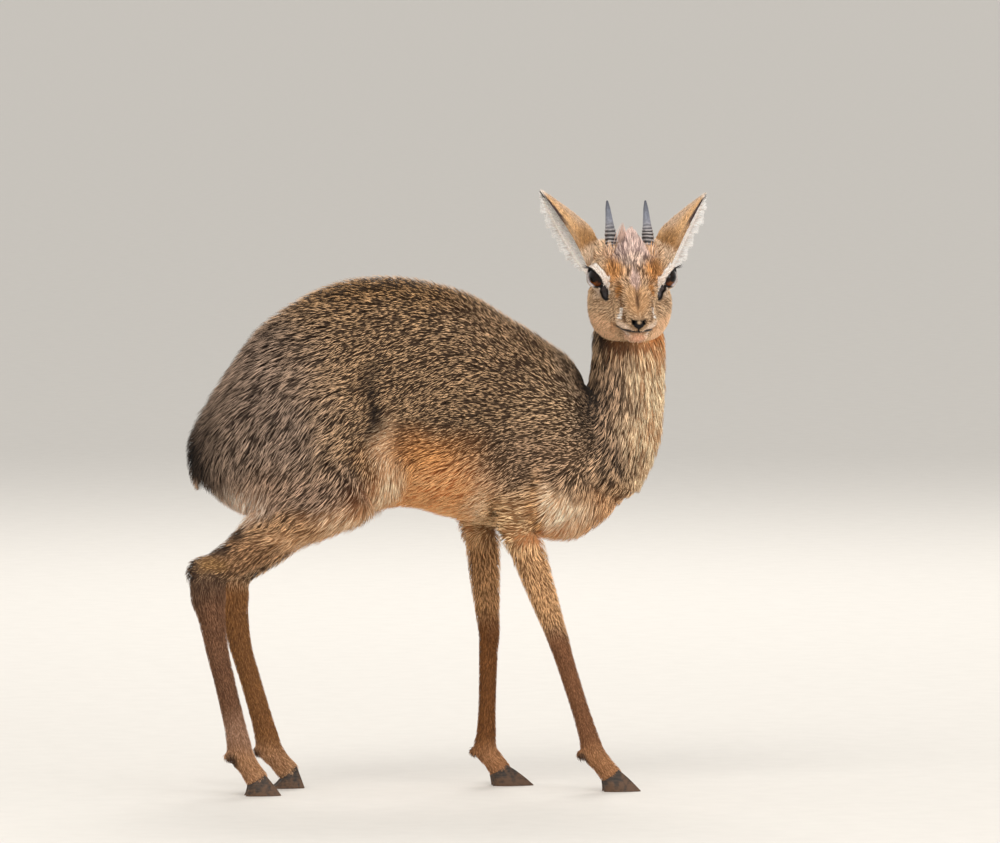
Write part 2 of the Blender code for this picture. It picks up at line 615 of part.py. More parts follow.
def build_eye(name, sign, head):
    """An eyeball, and the socket it sits in."""
    for radius, label in ((EYE_RADIUS + GAP, "socket"), (EYE_RADIUS, f"{name}_eye")):
        mesh = bmesh.new()
        bmesh.ops.create_uvsphere(mesh, u_segments=12, v_segments=7, radius=radius * MM)
        centre = (head_point(*np.multiply(EYE_CENTRE, (1, sign, 1))) - ORIGIN) * MM
        bmesh.ops.translate(mesh, verts=mesh.verts[:], vec=centre)
        made = node(label, mesh, (0.03, 0.015, 0.01), 0.1)
        if label == "socket":
            made.hide_render = True
            made.display_type = "WIRE"
            less(head, made)


def build_tail(rump):
    angle = np.linspace(0, 2 * np.pi, 10, endpoint=False)[:, None]
    rows = np.array([(x, 0, z, radius) for x, z, radius in TAIL], float)
    direction = np.gradient(rows[:, :3], axis=0)
    direction /= np.linalg.norm(direction, axis=1)[:, None]
    rings = []
    for row, axis in zip(rows, direction):
        across = np.cross(axis, (0, 1.0, 0))
        rings.append(row[:3] + row[3] * (np.cos(angle) * across + np.sin(angle) * np.array([0, 1.15, 0])))
    points, faces = lofted(rings)
    made = mesh_object("tail", points, faces, (0.35, 0.25, 0.16))
    outward(made)
    less(made, rump)


def main():
    clear_scene()
    body = build_body()
    build_legs()
    build_hooves()
    build_tail(grown(body["rump"], GAP))
    around_head = grown(body["head"], GAP)
    for name, sign in (("right", -1), ("left", 1)):
        build_horn(name, around_head)
        build_ear(name, around_head)
    for name, sign in (("right", -1), ("left", 1)):
        build_eye(name, sign, body["head"])


main()
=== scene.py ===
import bpy
import bmesh
import numpy as np
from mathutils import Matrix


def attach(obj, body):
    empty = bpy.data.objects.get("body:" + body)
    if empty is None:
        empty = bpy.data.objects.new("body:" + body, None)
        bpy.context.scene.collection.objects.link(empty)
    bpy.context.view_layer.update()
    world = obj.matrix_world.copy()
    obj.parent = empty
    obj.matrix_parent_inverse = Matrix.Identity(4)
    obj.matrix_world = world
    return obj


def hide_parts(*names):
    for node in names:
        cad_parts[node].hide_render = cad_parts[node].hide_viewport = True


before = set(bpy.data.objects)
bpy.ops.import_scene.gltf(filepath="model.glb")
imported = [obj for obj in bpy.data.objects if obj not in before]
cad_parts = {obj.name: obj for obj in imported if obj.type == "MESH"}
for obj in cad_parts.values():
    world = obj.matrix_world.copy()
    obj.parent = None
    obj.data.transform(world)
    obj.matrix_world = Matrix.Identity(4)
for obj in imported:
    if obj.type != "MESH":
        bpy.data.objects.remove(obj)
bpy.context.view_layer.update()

# The dik-dik's looks: one skin inside the outline, eyes, ears, horns, hooves, and a coat of tufts.
# Lengths are in millimetres until placed() turns them to metres about the middle of the footprint.
MM = 0.001
ORIGIN = np.array([13.0, -21.0, 0.0])
DICE = np.random.default_rng(11)

TRUNK_AXIS_Z = 300
TRUNK_SECTIONS = [  # x, top of the back, underside, half-width
    (-197, 332, 270, 25), (-191, 345, 262, 34), (-183, 357, 255, 41), (-173, 371, 248, 48), (-159, 391, 243, 53),
    (-143, 410, 241, 55.5), (-100, 437, 241, 58), (-61, 450, 242, 58.5), (-13, 450, 245, 59),
    (36, 436.5, 232.5, 61), (75, 413.5, 225, 59), (115, 390, 216.5, 53), (135, 371, 219, 47),
    (150, 348, 228.5, 42), (162, 330, 238, 35), (172, 318, 249, 26)]
NECK_SECTIONS = [  # x, y, z of its middle, then how far it reaches to the nape, to the throat and sideways
    (148, 0, 283, 46, 48, 42), (165, 0, 315, 40, 45, 37), (174, -1, 345, 36, 38, 33),
    (177.5, -3, 372, 34.5, 35, 30.5), (178.5, -6, 400, 33.5, 34, 29), (178.5, -11, 426, 30, 30, 27),
    (178.5, -17, 446, 25, 25, 24)]

# Head: measured forward, left and up from the point midway between the eyes.
EYE_MIDDLE = np.array([174.5, -55.0, 446.0])
HEAD_TURN, HEAD_DROP = np.radians(-2.5), np.radians(22.0)
CRANIUM = [  # forward, up, reach to the top, reach to the bottom, half-width
    (28, 0, 6, 20, 12), (14, 0, 12, 22, 18), (-2, 0, 18, 24, 26.5), (-18, 0, 21.5, 27, 31.5),
    (-33, 0, 20.5, 28, 31)]
SNOUT = [
    (57, -13.5, 8, 8.5, 9.5), (50, -13, 11.5, 12, 13.5), (40, -11, 14, 15, 15.8), (26, -9, 16.5, 18, 17),
    (10, -7, 19, 21, 20), (-6, -6, 20, 24, 23)]
JAW = [
    (49, -28, 7.5, 7, 9), (41, -28, 9, 9.5, 13), (26, -28, 13, 16, 20), (8, -29, 16, 24.5, 26.5),
    (-10, -30, 20, 30, 31.5), (-26, -30, 22, 30, 32)]
CREST = [(-19, 12, 15, 15, 18), (-21, 22, 12, 12, 14.5), (-24, 31, 8, 8, 8.5), (-25.5, 36, 4.5, 4.5, 4)]
CHEEK = ((-11, 17.5, -28), (30, 19, 25))  # middle (forward, sideways, up) and its three radii
EYE_RIM = ((-4, 25, 4.5), (17, 13.5, 15))
EAR_ROOT = ((-38, 23, 8), (13, 12, 14))
LIP = ((42, 8, -18), (14, 10, 8))
EYE_CENTRE, EYE_RADIUS = (-2, 27.5, 3.5), 11.0

FORE_JOINTS = {  # shoulder, upper arm, elbow, knee, fetlock, hoof
    "right": [
        (112, -36, 308), (122, -38, 280), (76, -42, 236), (111.5, -39, 134), (143.5, -37, 35), (158, -36, 14)],
    "left": [
        (100, 36, 308), (108, 38, 276), (55, 42, 236), (61.7, 38, 134), (59, 36, 33), (70, 36, 14)]}
FORE_REACH = [  # place along the joints, then the reach to the front, to the back and sideways
    (1.0, 28, 28, 19), (1.5, 24, 24, 18), (2.0, 19, 20, 16), (2.2, 17, 17, 14.5), (2.5, 14.3, 14.5, 12),
    (2.85, 11, 11, 10), (3.0, 9.9, 9.7, 9.5), (3.2, 8.5, 8.7, 8.2), (3.6, 7.9, 8.2, 7.6), (3.85, 8.6, 9.2, 8.6),
    (4.0, 9.5, 11.5, 9.8), (4.5, 9.2, 9.6, 9.2), (5.0, 10.5, 9, 10.5)]
HIND_JOINTS = {  # hock, middle of the cannon, fetlock, hoof
    "right": [(-198, -39, 187), (-187.3, -38, 125), (-166, -37, 37), (-153, -36, 14)],
    "left": [(-169, 39, 181), (-158.5, 38, 124), (-132, 37, 35), (-117, 36, 14)]}
HIND_REACH = [
    (0.0, 20, 14, 13.5), (0.25, 17, 15, 12.5), (0.5, 13.5, 11.8, 11), (1.0, 11, 9.4, 9), (1.3, 10.3, 8.8, 8.6),
    (1.7, 10.2, 9.4, 8.8), (1.9, 10.8, 11.3, 10), (2.0, 11, 12.5, 10.3), (2.5, 9.6, 10, 9.6), (3.0, 11, 9.5, 10.8)]
GASKIN_POINTS = {  # from the stifle to the point of the hock
    "right": [
        (-72, -39, 273), (-104, -41, 255), (-133, -41, 236), (-160, -40, 214), (-184, -39, 199), (-205, -39, 197)],
    "left": [
        (-56, 39, 269), (-86, 41, 251), (-113, 41, 231), (-137, 40, 209), (-157, 39, 193), (-177, 39, 191)]}
GASKIN_REACH = [(40, 39, 27), (35, 36, 25), (26, 30, 21), (19, 21, 16), (13.5, 17, 12), (9, 11, 9)]
HAUNCH = {"right": (-122, -33, 306), "left": (-112, 33, 306)}
HAUNCH_RADII = (70, 31, 64)
SHOULDER, SHOULDER_RADII = (100, 32, 310), (38, 21, 58)
DEWCLAW_RADII, DEWCLAW_PLACE = (4.2, 3.0, 5.0), (-11.5, 4.5, -3)
TAIL = [(-184, 322, 9), (-194, 312, 9.5), (-200, 297, 8.5), (-201.5, 282, 6.5), (-200, 267, 3.2)]  # x, z, radius

HOOVES = {  # x of the heel and of the toe, and y between the two claws
    "right_fore": (151.5, 185, -36), "left_fore": (64, 101, 36),
    "right_hind": (-163, -131, -36), "left_hind": (-134, -102, 36)}
EARS = {  # middle of the cup's mouth at the root, then the tip, in the head's forward, left and up
    "right": ((-36, -42, 4), (-68, -75.5, 54.5)), "left": ((-36, 40.5, 4), (-66, 68.5, 52))}
EAR_WIDTHS = [  # place along the ear, half the width of the cup's mouth, depth of the cup
    (0, 12, 19), (0.12, 14, 22), (0.3, 15, 22.5), (0.5, 13.5, 18), (0.7, 10, 12), (0.88, 5.8, 6.2), (1.0, 2.2, 2.2)]
EAR_TURN = np.radians(8)
HORN_ROOTS = {"right": (-15, -15, 8), "left": (-15, 16.5, 8)}
HORN_TIPS = {"right": (-62, -18, 49.5), "left": (-62, 15.5, 49.5)}
HORN_RADII = [(0, 6.2), (0.3, 5.6), (0.48, 5.1), (0.6, 4.0), (0.77, 2.9), (0.88, 2.3), (1.0, 0.9)]


def head_axes():
    """Rows are the head's forward, left and up: level directions turned by HEAD_TURN, then dropped."""
    left = np.array([np.cos(HEAD_TURN), np.sin(HEAD_TURN), 0.0])
    level = np.array([np.sin(HEAD_TURN), -np.cos(HEAD_TURN), 0.0])
    forward = np.cos(HEAD_DROP) * level - np.sin(HEAD_DROP) * np.array([0, 0, 1.0])
    return np.array([forward, left, np.cross(forward, left)])


HEAD_AXES = head_axes()


def head_point(forward, left, up):
    return EYE_MIDDLE + np.array([forward, left, up]) @ HEAD_AXES


def head_coords(points):
    """Forward, left and up from between the eyes: the offset measured along the head's axes."""
    return (points - EYE_MIDDLE) @ HEAD_AXES.T


def unit(vectors):
    return vectors / (np.linalg.norm(vectors, axis=-1, keepdims=True) + 1e-12)


def smoothstep(low, high, value):
    """3t² - 2t³, where t runs from 0 at low to 1 at high."""
    t = np.clip((value - low) / (high - low), 0, 1)
    return t * t * (3 - 2 * t)


# The flesh: signed distances to limbs and balls, joined with soft edges.

def smooth_rows(rows, per_span=4):
    """A Catmull-Rom curve through the rows, each span split in equal steps."""
    rows = np.asarray(rows, float)
    ends = np.vstack([2 * rows[0] - rows[1], rows, 2 * rows[-1] - rows[-2]])
    t = np.linspace(0, 1, per_span, endpoint=False)[:, None]
    spans = []
    for a, b, c, d in zip(ends[:-3], ends[1:-2], ends[2:-1], ends[3:]):
        spans.append(b + 0.5 * t * (c - a + t * (2 * a - 5 * b + 4 * c - d + t * (3 * (b - c) + d - a))))
    return np.vstack(spans + [rows[-1:]])


def limb(rows, side, cap, power, blend, thin=0.0, lie=1):
    """Oval sections carried along a line, each reach made smaller by the coat's depth, thin."""
    rows = np.asarray(rows, float).copy()
    rows[:, 3:] = np.maximum(rows[:, 3:] - np.reshape(thin, (-1, 1)), 0.4 * rows[:, 3:])
    rows = smooth_rows(rows)
    side = np.asarray(side, float)
    normal = unit(np.cross(np.gradient(rows[:, :3], axis=0), side))
    far = max(rows[:, 3:].max(), cap)
    line = rows[:, :3]
    return dict(line=line, reach=rows[:, 3:], normal=normal, side=side, cap=cap, power=power, blend=blend,
                lie=lie, low=line.min(axis=0) - far, high=line.max(axis=0) + far)


def ball(centre, radii, axes, blend, thin=0.0):
    centre, radii = np.asarray(centre, float), np.maximum(np.asarray(radii, float) - thin, 1.0)
    far = radii.max()
    return dict(centre=centre, radii=radii, axes=axes, blend=blend, low=centre - far, high=centre + far)


def limb_measure(points, form):
    """Distance from the section's oval, the line's direction, the place along it and the angle round it.

    The offset from the nearest place on the line is split along the section's own axes, and the distance
    is the offset's length less that length scaled to the superellipse.
    """
    line, reach, normal = form["line"], form["reach"], form["normal"]
    step = line[1:] - line[:-1]
    gap = points[:, None, :] - line[None, :-1, :]
    t = np.clip((gap * step).sum(axis=2) / (step ** 2).sum(axis=1), 0, 1)
    offset = gap - t[..., None] * step
    nearest = (offset ** 2).sum(axis=2).argmin(axis=1)
    each = np.arange(len(points))
    offset, t = offset[each, nearest], t[each, nearest, None]
    across = unit(normal[nearest] * (1 - t) + normal[nearest + 1] * t)
    size = reach[nearest] * (1 - t) + reach[nearest + 1] * t
    high, wide = (offset * across).sum(axis=1), offset @ form["side"]
    length = np.sqrt((offset ** 2).sum(axis=1)) + 1e-6
    ahead = np.sqrt(np.maximum(length ** 2 - high ** 2 - wide ** 2, 0))
    power = form["power"]
    tall = np.where(high > 0, size[:, 0], size[:, 1])
    ratio = np.abs(high / tall) ** power + np.abs(wide / size[:, 2]) ** power + (ahead / form["cap"]) ** power
    distance = length - length / (ratio ** (1 / power) + 1e-6)
    return distance, unit(step)[nearest], (nearest + t[:, 0]) / len(step), np.arctan2(wide, high)


def ball_distance(points, form):
    """An ellipsoid's distance: k(k - 1) over the length of its slope, k being the radius as a share."""
    local = (points - form["centre"]) @ form["axes"].T
    near = np.linalg.norm(local / form["radii"], axis=1)
    return near * (near - 1) / (np.linalg.norm(local / form["radii"] ** 2, axis=1) + 1e-9)


def soft_min(a, b, width):
    """The smaller of two distances, with the edge between them rounded over this width."""
    share = np.clip(0.5 + 0.5 * (b - a) / width, 0, 1)
    return b * (1 - share) + a * share - width * share * (1 - share)


def along(joints, place):
    joints = np.asarray(joints, float)
    first = min(int(place), len(joints) - 2)
    return joints[first] + (joints[first + 1] - joints[first]) * (place - first)


def leg_rows(joints, reaches):
    return [(*along(joints, place), *reach) for place, *reach in reaches]


def head_rows(table):
    return [(*head_point(forward, 0, up), *reach) for forward, up, *reach in reversed(table)]


# Depth of the coat over each form.
TRUNK_COAT = (11,) * 11 + (10, 8.5, 7, 6, 5)
HAUNCH_COAT, SHOULDER_COAT = 13.0, 10.0
NECK_COAT = (5, 6, 7, 8, 8.5, 8.5, 8.5)
GASKIN_COAT = (12, 11, 9, 6, 3.5, 2)
HIND_COAT = (3, 2.6, 2.2, 1.6, 1.4, 1.4, 1.5, 1.6, 1.5, 1.3)
FORE_COAT = (10, 9, 7, 5.5, 4, 2.6, 2, 1.5, 1.4, 1.4, 1.5, 1.4, 1.3)
CRANIUM_COAT, SNOUT_COAT, JAW_COAT, CREST_COAT = 3.0, (1.5, 1.5, 1.6, 1.8, 2.2, 3.0), (1.5, 1.6, 2, 2.6, 3, 3), 3.2
DEWCLAW_COAT = 1.3
TRUNK_MIDDLE_X, REAR_SHORTENING, FRONT_SHORTENING = -13, 0.055, 0.025


def flesh_forms(coat):
    """The forms out to the coat's tips where coat is 0, or the skin's where it is 1."""
    sideways, level = (0, 1, 0), np.eye(3)
    shorter = coat * np.where(np.array(TRUNK_SECTIONS)[:, 0] < TRUNK_MIDDLE_X, REAR_SHORTENING, FRONT_SHORTENING)
    trunk = [(x - less * (x - TRUNK_MIDDLE_X), 0, TRUNK_AXIS_Z, top - TRUNK_AXIS_Z, TRUNK_AXIS_Z - under, half)
             for (x, top, under, half), less in zip(TRUNK_SECTIONS, shorter)]
    forms = [limb(trunk, sideways, 9, 2.15, 0, coat * np.array(TRUNK_COAT), -1)]
    for name, sign in (("right", -1), ("left", 1)):
        gaskin = [(*point, *reach) for point, reach in zip(GASKIN_POINTS[name], GASKIN_REACH)]
        forms.append(ball(HAUNCH[name], HAUNCH_RADII, level, 24, coat * HAUNCH_COAT))
        forms.append(limb(gaskin, sideways, 12 - 8 * coat, 2.0, 18, coat * np.array(GASKIN_COAT)))
        forms.append(limb(leg_rows(HIND_JOINTS[name], HIND_REACH), sideways, 6, 2.0, 9, coat * np.array(HIND_COAT)))
        forms.append(limb(leg_rows(FORE_JOINTS[name], FORE_REACH), sideways, 6, 2.0, 22, coat * np.array(FORE_COAT)))
        forms.append(ball(np.multiply(SHOULDER, (1, sign, 1)), SHOULDER_RADII, level, 24, coat * SHOULDER_COAT))
        for fetlock in (HIND_JOINTS[name][2], FORE_JOINTS[name][4]):
            for apart in (-1, 1):
                place = np.add(fetlock, np.multiply(DEWCLAW_PLACE, (1, apart, 1)))
                forms.append(ball(place, DEWCLAW_RADII, level, 4, DEWCLAW_COAT * coat))
    forms.append(limb(NECK_SECTIONS, sideways, 14, 2.0, 18, coat * np.array(NECK_COAT), -1))
    tail = [(x, 0, z, radius, radius, 1.15 * radius) for x, z, radius in TAIL]
    forms.append(limb(tail, sideways, 3, 2.0, 8, 4.0 * coat))
    across_head = HEAD_AXES[1]
    forms.append(limb(head_rows(CRANIUM), across_head, 19 - 3 * coat, 2.1, 14, coat * CRANIUM_COAT, -1))
    forms.append(limb(head_rows(SNOUT), across_head, 7 - 0.8 * coat, 2.2, 9, coat * np.array(SNOUT_COAT[::-1]), -1))
    forms.append(limb(head_rows(JAW), across_head, 7 - 1.0 * coat, 3.4, 9, coat * np.array(JAW_COAT[::-1]), -1))
    forms.append(limb(head_rows(CREST)[::-1], across_head, 4 - 2 * coat, 2.0, 8, coat * CREST_COAT))
    for sign in (-1, 1):
        for (middle, radii), blend, thin in (
                (CHEEK, 10, 2.6), (EYE_RIM, 7, 1.5), (EAR_ROOT, 8, 2.5), (LIP, 6, 1.3)):
            forms.append(ball(head_point(*np.multiply(middle, (1, sign, 1))), radii, HEAD_AXES, blend, coat * thin))
    return forms


OUTLINE, SKIN_FORMS = flesh_forms(0), flesh_forms(1)
FORM_MARGIN = 40  # beyond this distance a form can't change the surface


def joined(points, forms):
    """Signed distance to the forms joined in order with soft edges, negative inside."""
    distance = np.full(len(points), 1e3)
    for start in range(0, len(points), 40000):
        some = points[start:start + 40000]
        value = limb_measure(some, forms[0])[0]
        for form in forms[1:]:
            near = ((some > form["low"] - FORM_MARGIN) & (some < form["high"] + FORM_MARGIN)).all(axis=1)
            if near.any():
                each = limb_measure(some[near], form)[0] if "line" in form else ball_distance(some[near], form)
                value[near] = soft_min(each, value[near], form["blend"])
        distance[start:start + 40000] = value
    return distance


# The face: lids, glands, nostrils and mouth, as changes to the skin's distance.
EYE_AIM = unit(np.array([0.64, 0.766, 0.08]))  # the way a left eye looks, in the head's axes
EYE_ALONG = unit(np.array([0.766, -0.64, -0.06]))  # towards the inner corner
EYE_ALONG = unit(EYE_ALONG - EYE_AIM * (EYE_ALONG @ EYE_AIM))
EYE_UP = np.cross(EYE_AIM, EYE_ALONG) * -1.0
LID_LONG, LID_INNER, LID_TALL, LID_POWER = 1.00, 0.85, 0.60, 2.15  # the opening's half-angles, its corners' sharpness
LID_TILT, LID_RISE = 0.13, 0.04  # the outer corner is higher than the inner one
LID_THICK = 1.3
MOUTH_UP, MOUTH_FRONT, MOUTH_FALL, MOUTH_BACK = -22.2, 56, 0.28, 23
NOSTRIL = ((60.5, 4.3, -11.9), (4.4, 1.7, 1.9))
PAD_TOP, PAD_TALL, PAD_HALF = -8.8, 9.2, 5.9
WHITE_ARM = ((10.5, 23.4, 7), (11.3, 21.8, -5.5))  # the white ring's inner arm, beside the gland


def eye_place(q):
    """Distance from the eye's middle, and distance outside the almond opening, measured on the eyeball.

    The almond is a superellipse in the two angles from the way the eye looks, tilted down towards the nose.
    """
    offset = q - np.array(EYE_CENTRE)
    radius = np.linalg.norm(offset, axis=1)
    ahead = offset / (radius[:, None] + 1e-9)
    turn = np.arctan2(ahead @ EYE_ALONG, ahead @ EYE_AIM)
    rise = np.arcsin(np.clip(ahead @ EYE_UP, -1, 1)) + LID_TILT * np.clip(turn, -1.2, 1.2) - LID_RISE
    long = np.where(turn > 0, LID_INNER, LID_LONG)
    share = (np.abs(turn / long) ** LID_POWER + np.abs(rise / LID_TALL) ** LID_POWER) ** (1 / LID_POWER)
    return radius, EYE_RADIUS * LID_TALL * (share - 1), turn, rise


def groove(distance, depth, width):
    """A channel's depth at a distance from its middle: a bell curve."""
    return depth * np.exp(-(distance / width) ** 2)


def line_distance(q, start, end):
    start, end = np.array(start, float), np.array(end, float)
    run = end - start
    t = np.clip((q - start) @ run / (run @ run), 0, 1)
    return np.linalg.norm(q - start - t[:, None] * run, axis=1)


GLAND = ((25.9, -0.9), (24.1, -11.2))  # sideways and up, at its two ends
BROW = ((-14, 30, 14), (8, 22, 15))
CHEEK_FOLD = ((31, 15, -3), (47, 14, -14))


def gland_distance(q):
    """How far outside the leaf-shaped gland below the eye, seen from the front.

    It is the distance to a line in sideways and up, less a half-width that swells as a sine along it.
    """
    (side_a, up_a), (side_b, up_b) = GLAND
    t = np.clip((up_a - q[:, 2]) / (up_a - up_b), 0, 1)
    middle = side_a + (side_b - side_a) * t
    beyond = np.maximum(np.maximum(q[:, 2] - up_a, up_b - q[:, 2]), 0)
    apart = np.hypot(q[:, 1] - middle, beyond) - 1.7 - 2.1 * np.sin(np.pi * (0.1 + 0.68 * t))
    return np.where(q[:, 0] > 0, apart, 99.0)


def mouth_height(q):
    """Height above the line between the lips, which falls towards the cheeks."""
    rise = 0.6 * smoothstep(3, 9, np.abs(q[:, 1]))
    return q[:, 2] - MOUTH_UP - rise + MOUTH_FALL * np.maximum(MOUTH_FRONT - q[:, 0], 0)


def pad_share(q):
    """1 on the nose pad: level above, narrowing to a point below."""
    down = (PAD_TOP - q[:, 2]) / PAD_TALL
    half = PAD_HALF * np.clip(1 - smoothstep(0.40, 1.05, down), 0.07, 1)
    inside = smoothstep(0.5, -0.2, np.abs(q[:, 1]) - half) * smoothstep(-0.02, 0.06, down) * smoothstep(1.05, 0.97, down)
    return inside * smoothstep(52, 55, q[:, 0])


def face_distance(points, value):
    """The skin's distance with lids, brows, glands, nostrils and mouth worked in."""
    q = head_coords(points)
    q[:, 1] = np.abs(q[:, 1])
    radius, almond, _, rise = eye_place(q)
    value = soft_min(radius - EYE_RADIUS - LID_THICK, value, 3.0)
    rim = np.where(radius < EYE_RADIUS + 6, 1.0, 0.0)
    value = value - rim * groove(almond - 0.8, 0.5, 0.8)
    value = value + rim * groove(almond - 2.9, 0.6, 0.8) * (rise > 0)
    value = value + rim * groove(almond - 2.6, 0.5, 0.7) * (rise <= 0)
    value = value - groove(line_distance(q, *BROW), 1.2, 4.0)
    value = value + 1.5 * smoothstep(0.6, -1.6, gland_distance(q)) * (radius < 26)
    value = value + groove(line_distance(q, *CHEEK_FOLD), 1.2, 3.2)
    mouth = mouth_height(q)
    front = smoothstep(MOUTH_BACK, MOUTH_BACK + 4, q[:, 0])
    value = value + front * groove(mouth, 1.5, 0.8) - front * groove(np.abs(mouth) - 2.0, 0.4, 1.1)
    philtrum = smoothstep(-23, -21.5, q[:, 2]) * smoothstep(-15.5, -17, q[:, 2]) * smoothstep(50, 54, q[:, 0])
    value = value + philtrum * groove(q[:, 1], 0.9, 0.6)
    value = value - 0.7 * pad_share(q)
    nostril = (q - np.array(NOSTRIL[0])) / np.array(NOSTRIL[1])
    hollow = (np.linalg.norm(nostril, axis=1) - 1) * 1.7
    value = np.maximum(value, -hollow)
    return np.maximum(value, -np.maximum(almond, EYE_RADIUS - 1.6 - radius))


def skin(points):
    """Signed distance to the skin: the forms without the coat, with the face's details near the head."""
    value = joined(points, SKIN_FORMS)
    face = ((points > (115, -140, 385)) & (points < (235, -20, 510))).all(axis=1)
    value[face] = face_distance(points[face], value[face])
    return value


def slope(field, points, step=0.35):
    """Central differences of a distance along x, y and z."""
    moves = step * np.eye(3)
    return np.stack([(field(points + move) - field(points - move)) / (2 * step) for move in moves], axis=1)


def settled(field, points, cell, rounds=3):
    """Points moved down the slope onto the surface where the distance is nought."""
    for _ in range(rounds):
        rise = slope(field, points)
        step = -field(points)[:, None] * rise / ((rise ** 2).sum(axis=1)[:, None] + 1e-9)
        length = np.linalg.norm(step, axis=1)[:, None]
        points = points + step * np.minimum(1, 0.5 * cell / (length + 1e-9))
    return points


def surface_net(field, low, high, cell):
    """A corner in every cell that the surface crosses, and a face round every grid edge that it crosses."""
    low = np.asarray(low, float)
    count = np.ceil((np.asarray(high) - low) / cell).astype(int) + 1
    coarse = 3
    rough_axes = [low[i] + cell * np.arange(0, count[i], coarse) for i in range(3)]
    rough = field(np.stack(np.meshgrid(*rough_axes, indexing="ij"), axis=-1).reshape(-1, 3))
    rough = rough.reshape([len(axis) for axis in rough_axes])
    nearest = [np.clip((np.arange(count[i]) + coarse // 2) // coarse, 0, rough.shape[i] - 1) for i in range(3)]
    values = rough[np.ix_(*nearest)]
    close = np.abs(values) < 1.6 * coarse * cell
    values[close] = field(low + cell * np.argwhere(close))
    inside = values < 0
    corners = [np.array((i, j, k)) for i in (0, 1) for j in (0, 1) for k in (0, 1)]
    total = 0
    for corner in corners:
        window = tuple(slice(corner[axis], values.shape[axis] - 1 + corner[axis]) for axis in range(3))
        total = total + inside[window].astype(np.int8)
    active = (total > 0) & (total < 8)
    number = np.full(active.shape, -1)
    number[active] = np.arange(active.sum())
    where = np.argwhere(active)
    crossing, crossings = np.zeros((len(where), 3)), np.zeros(len(where))
    for axis in range(3):
        for corner in corners:
            if corner[axis]:
                continue
            other = corner + np.eye(3, dtype=int)[axis]
            first, second = values[tuple((where + corner).T)], values[tuple((where + other).T)]
            crossed = (first < 0) != (second < 0)
            share = np.where(crossed, first / np.where(first == second, 1, first - second), 0)
            crossing += (corner + share[:, None] * np.eye(3)[axis]) * crossed[:, None]
            crossings += crossed
    points = low + cell * (where + crossing / crossings[:, None])
    faces = []
    for axis in range(3):
        b, d = (axis + 1) % 3, (axis + 2) % 3
        lower, upper = [slice(None)] * 3, [slice(None)] * 3
        lower[axis], upper[axis] = slice(0, -1), slice(1, None)
        edge = np.argwhere(inside[tuple(lower)] != inside[tuple(upper)])
        ring = []
        for back_b, back_d in ((1, 1), (0, 1), (0, 0), (1, 0)):
            cube = edge.copy()
            cube[:, b] -= back_b
            cube[:, d] -= back_d
            ring.append(number[tuple(cube.T)])
        quads = np.stack(ring, axis=1)
        flip = ~inside[tuple(edge.T)]
        quads[flip] = quads[flip][:, ::-1]
        faces.append(quads)
    return settled(field, points, cell, 2), np.vstack(faces)


# Meshes, colours and materials.

def placed(points):
    return (np.asarray(points) - ORIGIN) * MM


def linear(*tone):
    """A tone given as 0 to 255 turned to scene light: ((c + 0.055) / 1.055) to the power 2.4."""
    c = np.asarray(tone, float) / 255
    return np.where(c > 0.04045, ((c + 0.055) / 1.055) ** 2.4, c / 12.92)


def new_object(name, data, material, stands_for=()):
    made = bpy.data.objects.new(name, data)
    bpy.context.scene.collection.objects.link(made)
    if material:
        data.materials.append(material)
    data.shade_smooth()
    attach(made, "root")
    if stands_for:
        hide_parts(*stands_for)
    return made


def mesh_of(name, points, faces):
    """A mesh from corners in millimetres and faces that all have the same number of corners."""
    faces = np.asarray(faces)
    data = bpy.data.meshes.new(name)
    data.vertices.add(len(points))
    data.vertices.foreach_set("co", placed(points).astype(np.float32).ravel())
    data.loops.add(faces.size)
    data.loops.foreach_set("vertex_index", faces.astype(np.int32).ravel())
    data.polygons.add(len(faces))
    data.polygons.foreach_set("loop_start", np.arange(0, faces.size, faces.shape[1], dtype=np.int32))
    data.update(calc_edges=True)
    return data


def set_colour(data, name, colours):
    layer = data.attributes.new(name, "FLOAT_COLOR", "POINT")
    rows = np.ones((len(colours), 4), np.float32)
    rows[:, :3] = colours
    layer.data.foreach_set("color", rows.ravel())


def set_number(data, name, values):
    layer = data.attributes.new(name, "FLOAT", "POINT")
    layer.data.foreach_set("value", np.asarray(values, np.float32).ravel())


